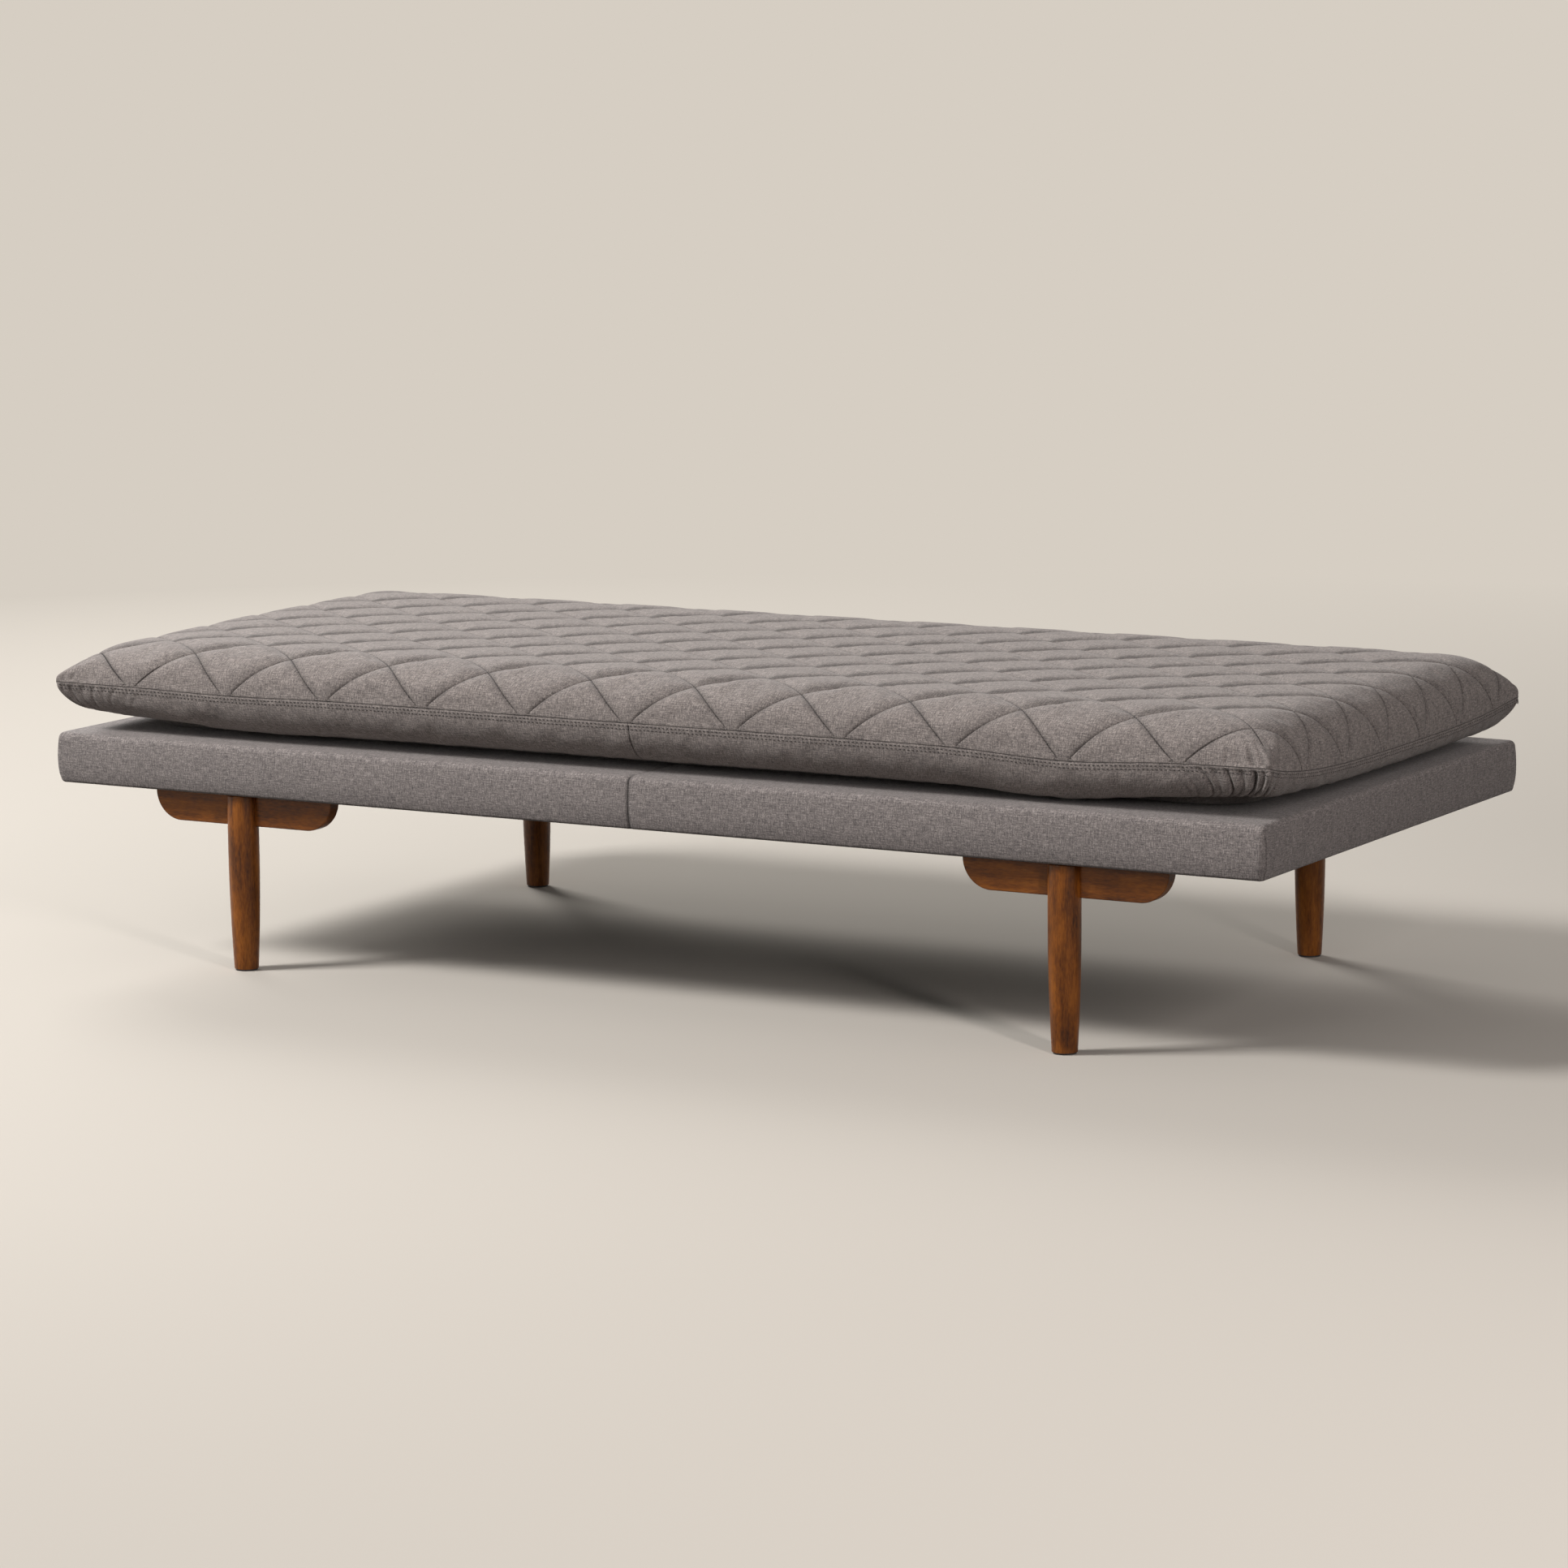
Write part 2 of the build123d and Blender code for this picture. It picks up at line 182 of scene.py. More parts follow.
class Wire:
    def __init__(self, tree, socket=None):
        self.tree = tree
        self.socket = socket

    def node(self, kind, settings=None, sockets=None, out=0):
        made = self.tree.nodes.new(kind)
        for name, value in (settings or {}).items():
            if name == "stops":
                layStops(made.color_ramp.elements, value)
            else:
                setattr(made, name, value)
        for name, value in (sockets or {}).items():
            if isinstance(value, Wire):
                self.tree.links.new(value.socket, made.inputs[name])
            else:
                made.inputs[name].default_value = value
        return Wire(self.tree, made.outputs[out] if made.outputs else None)

    def also(self, out):
        return Wire(self.tree, self.socket.node.outputs[out])

    def maths(self, operation, first, second=0.0):
        return self.node("ShaderNodeMath", {"operation": operation}, {0: first, 1: second})

    def __add__(self, other):
        return self.maths("ADD", self, other)

    def __sub__(self, other):
        return self.maths("SUBTRACT", self, other)

    def __rsub__(self, other):
        return self.maths("SUBTRACT", other, self)

    def __mul__(self, other):
        return self.maths("MULTIPLY", self, other)

    __radd__ = __add__
    __rmul__ = __mul__

    def sine(self):
        return self.maths("SINE", self)

    def between(self, low, high):
        limits = {"From Min": low, "From Max": high}
        return self.node("ShaderNodeMapRange", {"clamp": True}, {"Value": self, **limits})

    def blend(self, first, second):
        return self.node("ShaderNodeMix", {"data_type": "RGBA"}, {0: self, 6: first, 7: second}, 2)

    def ramp(self, *tones):
        places = (i / (len(tones) - 1) for i in range(len(tones)))
        return self.node("ShaderNodeValToRGB", {"stops": list(zip(places, tones))}, {"Fac": self})

    def place(self):
        return self.node("ShaderNodeTexCoord", {}, {}, "Object")

    def alongGrain(self, grain):
        return self.node("ShaderNodeMapping", {}, {"Vector": self.place(), "Rotation": grain})

    def clothMap(self):
        return self.node("ShaderNodeUVMap", {"uv_map": "cloth"})

    def scaled(self, coords, sizes):
        scale = tuple(1 / size for size in sizes)
        return self.node("ShaderNodeMapping", {}, {"Vector": coords, "Scale": scale})

    def noise(self, coords, sizes, detail=2.0):
        sockets = {"Vector": self.scaled(coords, sizes), "Scale": 1.0, "Detail": detail}
        return self.node("ShaderNodeTexNoise", {}, sockets)

    def layers(self, coords, look, *names):    # each name holds sizes and detail
        return [self.noise(coords, *look[name]) for name in names]

    def weave(self, cloth, pitch):
        across = self.node("ShaderNodeSeparateXYZ", {}, {"Vector": cloth})
        turn = math.tau / pitch
        return (across * turn).sine() * (across.also("Y") * turn).sine()

    def bump(self, height, distance, strength):
        sockets = {"Strength": strength, "Distance": distance, "Height": height}
        return self.node("ShaderNodeBump", {}, sockets)

    def finish(self, sockets):
        surface = self.node("ShaderNodeBsdfPrincipled", {}, sockets)
        self.node("ShaderNodeOutputMaterial", {}, {"Surface": surface})


def layStops(elements, stops):
    for stop in stops[len(elements):]:
        elements.new(stop[0])
    for element, (place, value) in zip(elements, stops):
        element.position = place
        element.color = value


def emptyTree(owner):
    owner.use_nodes = True
    owner.node_tree.nodes.clear()
    return Wire(owner.node_tree)


def newMaterial(name):
    material = bpy.data.materials.new(name)
    return material, emptyTree(material)


def colour(red, green, blue):
    parts = [part / 255 for part in (red, green, blue)]
    linear = [part / 12.92 if part <= 0.04045 else ((part + 0.055) / 1.055) ** 2.4 for part in parts]
    return (*linear, 1.0)


# Woven upholstery: cool dark weft and warm pale warp that follow each piece's own cloth map

linen = {
    "tones": (colour(88, 83, 82), colour(134, 126, 122), colour(178, 168, 162)),
    "weft": ((12 * mm, 1.6 * mm, 1.0), 3.0),
    "warp": ((1.5 * mm, 10 * mm, 1.0), 2.0),
    "speck": ((1.8 * mm, 1.7 * mm, 1.0), 1.0),
    "patch": ((70 * mm, 30 * mm, 1.0), 1.0),
    "shares": (0.34, 0.33, 0.33),    # of weft, warp and specks
    "patchShare": 0.05,
    "contrast": (0.385, 0.675),
    "pitch": 1.3 * mm,    # of the threads
    "relief": 0.25 * mm,
    "sheen": 0.12,
    # the most that painted shade darkens the linen's colour
    "paintedFoldShade": 0.92,
}


def linenCloth(name, tint):
    material, wire = newMaterial(name)
    cloth = wire.clothMap()
    weft, warp, speck, patch = wire.layers(cloth, linen, "weft", "warp", "speck", "patch")
    inWeft, inWarp, inSpeck = linen["shares"]
    heather = weft * inWeft + warp * inWarp + speck * inSpeck
    lit = (heather + patch * linen["patchShare"]).between(*linen["contrast"])
    tinted = [(*(c * t for c, t in zip(tone, tint)), 1.0) for tone in linen["tones"]]
    # painted shade: the colour goes toward black where channels, seams and gathers of the cloth would lie
    # in shade
    fold = wire.node("ShaderNodeAttribute", {"attribute_name": "fold"}, {}, "Fac")
    raised = heather * 1.2 + wire.weave(cloth, linen["pitch"]) * 0.2
    wire.finish({
        "Base Color": (fold * linen["paintedFoldShade"]).blend(lit.ramp(*tinted), colour(0, 0, 0)),
        "Roughness": 0.82 + 0.14 * heather,
        "Sheen Weight": linen["sheen"],
        "Sheen Roughness": 0.5,
        "Specular IOR Level": 0.2,
        "Normal": wire.bump(raised, linen["relief"], 0.6),
    })
    return material


# Stained hardwood with a satin lacquer

walnut = {
    "tones": (colour(60, 28, 6), colour(126, 70, 20), colour(164, 98, 34)),
    "knotTone": colour(34, 16, 7),
    "streak": ((9 * mm, 9 * mm, 150 * mm), 4.0),
    "pore": ((0.8 * mm, 0.8 * mm, 14 * mm), 2.0),
    "fleck": ((2.0 * mm, 2.0 * mm, 9 * mm), 3.0),
    "cloud": ((26 * mm, 26 * mm, 60 * mm), 2.0),
    "knot": (70 * mm, 70 * mm, 95 * mm),
    "shares": (0.38, 0.36, 0.26),    # of streaks, clouds and flecks
    "contrast": (0.36, 0.64),
    "knotEdge": (0.03, 0.075),
    "poreEdge": (0.30, 0.42),
    "poreShade": 0.45,
    "knotShade": 0.85,
    "relief": 0.12 * mm,
    "lacquer": 0.22,
    "lacquerRoughness": 0.16,
}


def stainedWood(name, grain):
    material, wire = newMaterial(name)
    turned = wire.alongGrain(grain)
    streak, pore, cloud, fleck = wire.layers(turned, walnut, "streak", "pore", "cloud", "fleck")
    cells = {"Vector": wire.scaled(turned, walnut["knot"]), "Scale": 1.0, "Randomness": 1.0}
    knot = wire.node("ShaderNodeTexVoronoi", {}, cells, "Distance")
    dot = 1 - knot.between(*walnut["knotEdge"])
    inStreak, inCloud, inFleck = walnut["shares"]
    tone = (streak * inStreak + cloud * inCloud + fleck * inFleck).between(*walnut["contrast"])
    stained = tone.ramp(*walnut["tones"])
    groove = 1 - pore.between(*walnut["poreEdge"])
    shaded = (groove * walnut["poreShade"]).blend(stained, walnut["tones"][0])
    wire.finish({
        "Base Color": (dot * walnut["knotShade"]).blend(shaded, walnut["knotTone"]),
        "Roughness": 0.38 + 0.12 * pore,
        "Specular IOR Level": 0.2,
        "Coat Weight": walnut["lacquer"],
        "Coat Roughness": walnut["lacquerRoughness"],
        "Normal": wire.bump(pore - groove * 0.6, walnut["relief"], 0.5),
    })
    return material


# Plain inner materials: metal, plastic, pine, plywood and the black cloth underneath

zinc = {
    "tone": (3 * mm, 3.0),    # size and detail of the mottling
    "contrast": (0.35, 0.65),
    "colours": (colour(150, 152, 152), colour(196, 198, 196)),
    "roughness": (0.28, 0.22),    # least, and how much the mottling adds
    "metal": 1.0,
    "relief": (0.05 * mm, 0.4),
}
plastic = {
    "tone": (6 * mm, 3.0),
    "grit": (0.6 * mm, 2.0),
    "contrast": (0.35, 0.7),
    "colours": (colour(30, 26, 24), colour(54, 47, 43)),
    "roughness": (0.45, 0.25),
    "relief": (0.06 * mm, 0.5),
}
thread = {
    "tone": (0.5 * mm, 2.0),
    "contrast": (0.3, 0.7),
    "colours": (colour(50, 46, 45), colour(78, 72, 70)),
    "roughness": (0.6, 0.2),
    "sheen": 0.1,
    "relief": (0.05 * mm, 0.6),
}
pine = {"streak": (14 * mm, 14 * mm, 300 * mm), "tones": (colour(176, 137, 92), colour(222, 190, 146))}
plywood = {"streak": (45 * mm, 2 * mm, 500 * mm), "tones": (colour(168, 132, 94), colour(206, 172, 130))}
timberGrain = {"fine": (1.2 * mm, 1.2 * mm, 40 * mm), "fineShare": 0.25, "relief": 0.15 * mm}
felt = {
    "fibre": (0.7 * mm, 5 * mm, 1.0),
    "cross": (5 * mm, 0.7 * mm, 1.0),
    "dimples": 2.2 * mm,
    "dimpleEdge": (0.55, 0.9),
    "tones": (colour(20, 19, 20), colour(44, 42, 43)),
    "relief": 0.25 * mm,
}
middling = (0.35, 0.65)    # the part of a noise that most of a surface has


def speckled(name, look):
    material, wire = newMaterial(name)
    place = wire.place()
    sizes = (look["tone"], look.get("grit", look["tone"]))
    tone, grit = (wire.noise(place, (size, size, size), detail) for size, detail in sizes)
    least, more = look["roughness"]
    wire.finish({
        "Base Color": tone.between(*look["contrast"]).blend(*look["colours"]),
        "Metallic": look.get("metal", 0.0),
        "Roughness": least + more * tone,
        "Sheen Weight": look.get("sheen", 0.0),
        "Normal": wire.bump(grit, *look["relief"]),
    })
    return material


def paleTimber(name, grain, timber):
    material, wire = newMaterial(name)
    turned = wire.alongGrain(grain)
    rings = wire.noise(turned, timber["streak"], 4.0)
    fine = wire.noise(turned, timberGrain["fine"], 2.0)
    tone = rings * (1 - timberGrain["fineShare"]) + fine * timberGrain["fineShare"]
    wire.finish({
        "Base Color": tone.between(*middling).blend(*timber["tones"]),
        "Roughness": 0.62 + 0.2 * fine,
        "Normal": wire.bump(fine, timberGrain["relief"], 0.5),
    })
    return material


def blackFelt(name):
    material, wire = newMaterial(name)
    cloth = wire.clothMap()
    fibre = wire.noise(cloth, felt["fibre"], 3.0)
    cross = wire.noise(cloth, felt["cross"], 3.0)
    dimple = wire.weave(cloth, felt["dimples"]).between(*felt["dimpleEdge"])
    web = fibre * 0.5 + cross * 0.5
    wire.finish({
        "Base Color": web.between(*middling).blend(*felt["tones"]),
        "Roughness": 0.8 + 0.15 * web,
        "Sheen Weight": 0.1,
        "Normal": wire.bump(web - dimple * 0.6, felt["relief"], 0.8),
    })
    return material


uprightGrain = (0.0, 0.0, 0.0)
lengthGrain = (0.0, math.pi / 2, 0.0)
widthGrain = (math.pi / 2, 0.0, 0.0)

seatLinen = linenCloth("mattress_linen", (1.0, 1.0, 1.0))
# the platform's copy of the same linen is tinted cooler and a little darker: painted light colour for the
# cool light that falls on it
baseLinen = linenCloth("platform_linen", (0.96, 0.975, 1.0))
threadLook = speckled("sewing_thread", thread)
legWood = stainedWood("leg_wood", uprightGrain)
bracketWood = stainedWood("bracket_wood", lengthGrain)
steelLook = speckled("zinc_steel_finish", zinc)
glideLook = speckled("glide_plastic_finish", plastic)
longPine = paleTimber("long_pine", lengthGrain, pine)
crossPine = paleTimber("cross_pine", widthGrain, pine)
plyLook = paleTimber("plywood_sheet", lengthGrain, plywood)
feltLook = blackFelt("black_felt")

nodeLooks = (    # the first row with a start that fits counts
    (bracketWood, ("leg_bracket_",)),
    (steelLook, ("leg_screws", "bracket_", "tee_nuts", "frame_screws", "deck_screws")),
    (legWood, ("leg_",)),
    (glideLook, ("foot_glide_",)),
    (plyLook, ("deck_panel",)),
    (longPine, ("front_rail", "rear_rail")),
    (crossPine, ("left_end_rail", "right_end_rail", "cross_rail_", "corner_blocks")),
)
for nodeName, node in nodes.items():
    for look, starts in nodeLooks:
        if nodeName.startswith(starts):
            for index in range(len(node.material_slots)):
                node.material_slots[index].material = look
            break
print("materials made and given to the frame")


# Mattress: a diamond grid for the quilted top, rolled down at the edges, then a border and a bottom

halfLength, halfWidth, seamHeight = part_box("mattress_border")[1]
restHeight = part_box("platform_cover")[1].z
mattress = {
    "rise": 57 * mm,    # from the border seam to the top
    "sideShoulder": 102 * mm,    # how far in the top starts to roll down
    "endShoulder": 80 * mm,
    "fullness": 2.4,
    "crown": 2 * mm,
    "cornerRadius": 6 * mm,
    "cornerPoint": 5 * mm,    # how far the corner tips stick out
    "pointFade": 9 * mm,
    "columns": 12,
    "rows": 7,
    "firstRow": -347.5 * mm,
    "rowPitch": 60.6 * mm,
    "fineness": 8,    # grid steps in half a cell
    "cutSteps": 1,
    "puff": 3.4 * mm,
    "quickPuff": 4.6 * mm,    # where the simulation is skipped
    "puffFullness": 4.5,
    "channelLift": 0.06,
    "uneven": 0.12,
    "frontPuff": 1.5,    # the edge rows against the middle ones
    "rearPuff": 0.4,
    "endPuff": 0.45,
    "sidePuffFade": (85 * mm, 160 * mm),
    "endPuffFade": (80 * mm, 180 * mm),
    "seamPuffFade": (4 * mm, 40 * mm),
    "settled": 7 * mm,    # the front left corner lies lower
    "settledFrom": (0.80, 0.95),
    "sideRoll": 55 * mm,    # radius of the border's roll
    "endRoll": 28 * mm,
    "rollRows": 11,
    "rollTurn": math.radians(92),
    "sideContact": 102 * mm,    # how far in the bottom meets the platform
    "endContact": 78 * mm,
    "contactGap": 0.4 * mm,
    "underRows": 7,
    "underFullness": 2.2,
    "cornerEase": 0.5,
    "flatInsets": (130 * mm, 190 * mm, 260 * mm, 330 * mm, 365 * mm),
}
seamLine = {    # how the border seam rises and falls along the edges
    "sideRise": 5 * mm,
    "endSag": 19 * mm,
    "rearHold": 0.55,
    "dip": 8 * mm,
    "dipAt": 0.626,
    "dipReach": 0.11,
    "farDip": 0.35,
}
shadedFolds = {    # painted shade beside the channels: how dark the cloth's colour is made there, darkest on the front side of the rising lines
    "cellReach": 47.9 * mm,
    "reach": 8.5 * mm,
    "narrow": 0.5,
    "sharpness": 1.5,
    "front": 0.9,
    "frontLean": 0.35,
    "frontOnSlope": 0.3,
    "rear": 0.25,
    "side": 0.35,
    "sideOnTop": 0.2,
    "topFrom": (60 * mm, 120 * mm),
    "seamFade": (2 * mm, 20 * mm),
}


def shoulderProfile(reach):
    turn = np.linspace(0, math.pi / 2, 2001)
    power = 2 / mattress["fullness"]
    across = reach * np.sin(turn) ** power
    left = np.cos(turn) ** power
    steps = np.hypot(np.diff(across), np.diff(left) * mattress["rise"])
    run = np.concatenate(([0], np.cumsum(steps)))
    slope = -np.gradient(left * mattress["rise"], run) / np.maximum(np.gradient(across, run), 1e-3)
    return run, across, left, np.clip(slope, 0, 8)


endProfile = shoulderProfile(mattress["endShoulder"])
sideProfile = shoulderProfile(mattress["sideShoulder"])
flatLength = halfLength - mattress["endShoulder"]
flatWidth = halfWidth - mattress["sideShoulder"]
runLength = flatLength + endProfile[0][-1]
runWidth = flatWidth + sideProfile[0][-1]
stepsPerCell = 2 * mattress["fineness"]
gridLength = stepsPerCell * mattress["columns"] - mattress["cutSteps"]
gridWidth = stepsPerCell * mattress["rows"] - mattress["cutSteps"]
rowNumbers = np.arange(2 * mattress["rows"] - 1)
innerSteps = stepsPerCell * (rowNumbers - mattress["rows"] + 1)
innerRuns = mattress["firstRow"] + mattress["rowPitch"] * rowNumbers
rowSteps = np.concatenate(([-gridWidth], innerSteps, [gridWidth]))
rowRuns = np.concatenate(([-runWidth], innerRuns, [runWidth]))


def roundCorners(x, y, length, width, radius):
    overX = np.clip((np.abs(x) - (length - radius)) / radius, 0, 1)
    overY = np.clip((np.abs(y) - (width - radius)) / radius, 0, 1)
    innerX = np.minimum(np.abs(x), length - radius)
    innerY = np.minimum(np.abs(y), width - radius)
    roundX = innerX + radius * overX * np.sqrt(1 - overY ** 2 / 2)
    roundY = innerY + radius * overY * np.sqrt(1 - overX ** 2 / 2)
    return np.sign(x) * roundX, np.sign(y) * roundY


def pointCorners(x, y, reach):
    share = np.abs(x / halfLength) ** 40 * np.abs(y / halfWidth) ** 18
    return x + np.sign(x) * reach * share, y + np.sign(y) * reach * share


def seamLift(x, y):
    alongX = x / halfLength
    alongY = y / halfWidth
    side = seamLine["sideRise"] * np.abs(alongY) ** 6
    raised = np.where(alongY < 0, 1.0, seamLine["rearHold"]) * np.abs(alongY) ** 3
    endSag = -seamLine["endSag"] * np.abs(alongX) ** 10 * (1 - raised)
    near = np.exp(-((np.abs(x) - seamLine["dipAt"]) / seamLine["dipReach"]) ** 2)
    dip = -seamLine["dip"] * near * np.abs(alongY) ** 8
    return side + endSag + dip * np.where(alongX * alongY < 0, 1.0, seamLine["farDip"])


def settleCorner(x, y):
    nearEnd = ease(mattress["settledFrom"], -x / halfLength)
    nearFront = np.clip(-y / halfWidth, 0, 1)
    return mattress["settled"] * nearEnd * nearFront


def lengthRun(gridX):
    return gridX / gridLength * runLength


def widthRun(gridY):
    return np.interp(gridY, rowSteps, rowRuns)


def toEdges(gridX, gridY):
    return runLength - np.abs(lengthRun(gridX)), runWidth - np.abs(widthRun(gridY))


def rollOver(run, flat, profile):
    over = np.clip(np.abs(run) - flat, 0, None)
    place = np.sign(run) * (np.minimum(np.abs(run), flat) + np.interp(over, profile[0], profile[1]))
    return place, np.interp(over, profile[0], profile[2]), np.interp(over, profile[0], profile[3])


def planPoint(gridX, gridY):
    x, leftX, slopeX = rollOver(lengthRun(gridX), flatLength, endProfile)
    y, leftY, slopeY = rollOver(widthRun(gridY), flatWidth, sideProfile)
    facing = np.stack((np.sign(x) * slopeX * leftY, np.sign(y) * slopeY * leftX, np.ones_like(x)), axis=-1)
    left = 1 / (1 / np.maximum(leftX, 1e-6) + 1 / np.maximum(leftY, 1e-6) - 1)
    return x, y, left, unit(facing)


def topPoint(gridX, gridY, lift):
    x, y, left, facing = planPoint(gridX, gridY)
    x, y = roundCorners(x, y, halfLength, halfWidth, mattress["cornerRadius"])
    x, y = pointCorners(x, y, mattress["cornerPoint"])
    crowned = (1 - (x / halfLength) ** 2) * (1 - (y / halfWidth) ** 2)
    z = seamHeight + mattress["rise"] * left + mattress["crown"] * crowned
    z = z + seamLift(x, y) * (1 - left) - settleCorner(x, y) * left
    return np.stack((x, y, z), axis=-1) + facing * np.asarray(lift)[..., None]


def cellPlace(count):
    return np.mod(count / stepsPerCell + 1, 2) - 1


def puffShare(gridX, gridY):
    toEnd, toSide = toEdges(gridX, gridY)
    side = np.where(gridY < 0, mattress["frontPuff"], mattress["rearPuff"])
    side = growing(side, mattress["sidePuffFade"], toSide)
    end = growing(mattress["endPuff"], mattress["endPuffFade"], toEnd)
    return side * end * ease(mattress["seamPuffFade"], np.minimum(toSide, toEnd))


def topSwell(gridX, gridY):
    one = np.clip(1 - np.abs(cellPlace(gridX + gridY)) ** mattress["puffFullness"], 0, 1)
    other = np.clip(1 - np.abs(cellPlace(gridX - gridY)) ** mattress["puffFullness"], 0, 1)
    channel = mattress["channelLift"] * np.maximum(one, other)
    pillow = (1 - mattress["channelLift"]) * one * other + channel
    column = np.floor((gridX + gridY) / (2 * stepsPerCell) + 0.5)
    row = np.floor((gridX - gridY) / (2 * stepsPerCell) + 0.5)
    stray = np.sin(2.3 * column + 4.1 * row) * np.cos(1.7 * column - 0.9 * row)
    height = mattress["puff"]
    return height * pillow * (1 + mattress["uneven"] * stray) * puffShare(gridX, gridY)


def besideChannel(away, reach):
    return np.exp(-(away * shadedFolds["cellReach"] / reach) ** shadedFolds["sharpness"])


# painted shade beside the quilt channels, darkest on the front side of the rising lines, as light from the
# back left would leave the slopes that face the front
def paintedChannelShade(gridX, gridY):
    along = cellPlace(gridX + gridY)
    across = cellPlace(gridX - gridY)
    toSeam = np.minimum(*toEdges(gridX, gridY))
    onTop = ease(shadedFolds["topFrom"], toSeam)
    thin = shadedFolds["narrow"] * shadedFolds["reach"]
    front = shadedFolds["front"] - shadedFolds["frontLean"] * along
    front = besideChannel(1 - across, shadedFolds["reach"]) * front
    front = front * growing(shadedFolds["frontOnSlope"], shadedFolds["topFrom"], toSeam)
    rear = shadedFolds["rear"] * besideChannel(1 + across, thin)
    side = (shadedFolds["side"] - shadedFolds["sideOnTop"] * onTop) * besideChannel(1 - np.abs(along), thin)
    shade = np.maximum(front, np.maximum(rear, side))
    return np.clip(shade, 0, 1) * ease(shadedFolds["seamFade"], toSeam)


def seamRing():
    front = [(x, -gridWidth) for x in range(-gridLength, gridLength, 2)]
    right = [(gridLength, y) for y in range(-gridWidth, gridWidth, 2)]
    return front + right + [(-x, -y) for x, y in front] + [(-x, -y) for x, y in right]


def sideToEnd(square, side, end):
    towardEnd = np.abs(square[:, 0] / halfLength) ** 10
    towardSide = np.abs(square[:, 1] / halfWidth) ** 6
    return side + (end - side) * towardEnd / (towardEnd + towardSide + 1e-9)


def seamPlan(ring):
    square = np.stack(planPoint(ring[:, 0], ring[:, 1])[:2], axis=-1)
    roll = sideToEnd(square, mattress["sideRoll"], mattress["endRoll"])
    height = topPoint(ring[:, 0], ring[:, 1], np.zeros(len(ring)))[:, 2]
    return square, roll, height


def insetRing(square, inset, radius, height):
    length = halfLength - inset
    width = halfWidth - inset
    x = square[:, 0] / halfLength * length
    y = square[:, 1] / halfWidth * width
    x, y = roundCorners(x, y, length, width, radius)
    x, y = pointCorners(x, y, mattress["cornerPoint"] * np.exp(-inset / mattress["pointFade"]))
    return np.stack((x, y, height + np.zeros(len(x))), axis=-1)


def underRings(ring):
    square, roll, seam = seamPlan(ring)
    contact = sideToEnd(square, mattress["sideContact"], mattress["endContact"])
    rest = restHeight + mattress["contactGap"]
    radius, ease = mattress["cornerRadius"], mattress["cornerEase"]
    rings = []
    for row in range(1, mattress["rollRows"] + 1):
        turn = mattress["rollTurn"] * row / mattress["rollRows"]
        inset = roll * (1 - math.cos(turn))
        height = seam - roll * math.sin(turn)
        rings.append(insetRing(square, inset, radius + ease * inset, height))
    rolledInset, rolledHeight = inset, height
    for row in range(1, mattress["underRows"] + 1):
        share = row / mattress["underRows"]
        inset = rolledInset + (contact - rolledInset) * share
        height = rest + (rolledHeight - rest) * (1 - share ** mattress["underFullness"])
        rings.append(insetRing(square, inset, radius + ease * inset, height))
    for inset in mattress["flatInsets"]:
        rings.append(insetRing(square, inset, radius, rest))
    return rings


def buildMattress():
    spots = [(x, y) for y in range(-gridWidth, gridWidth + 1)
             for x in range(-gridLength, gridLength + 1) if (x - y) % 2 == 0]
    index = {spot: i for i, spot in enumerate(spots)}
    grid = np.array(spots, float)
    points = topPoint(grid[:, 0], grid[:, 1], topSwell(grid[:, 0], grid[:, 1]))
    faces = []
    for x, y in spots:
        around = [(x, y), (x + 1, y - 1), (x + 2, y), (x + 1, y + 1)]
        known = [index[spot] for spot in around if spot in index]
        if len(known) == 4 or (len(known) == 3 and abs(y) == gridWidth):
            faces.append(known)
        if x == -gridLength and (x, y + 2) in index:
            faces.append([index[(x, y)], index[(x + 1, y + 1)], index[(x, y + 2)]])
    for y in range(-gridWidth, gridWidth - 1, 2):
        faces.append([index[(gridLength, y)], index[(gridLength, y + 2)], index[(gridLength - 1, y + 1)]])
    topFaces = len(faces)
    ringSpots = seamRing()
    rows = [np.array([index[spot] for spot in ringSpots])]
    count = len(points)
    made = [points]
    for level in underRings(np.array(ringSpots, float)):
        rows.append(np.arange(count, count + len(ringSpots)))
        made.append(level)
        count += len(ringSpots)
    for upper, lower in zip(rows, rows[1:]):
        for a, b, c, d in zip(upper, lower, np.roll(lower, -1), np.roll(upper, -1)):
            faces.append([a, b, c, d])
    obj = addMesh("quilted_mattress", np.concatenate(made), [list(map(int, face)) for face in faces])
    # painted shade beside the quilt channels, for the cloth's colour
    fold = np.zeros(count)
    fold[:len(grid)] = paintedChannelShade(grid[:, 0], grid[:, 1])
    startPaintedShade(obj, fold)
    return obj, grid, rows, topFaces


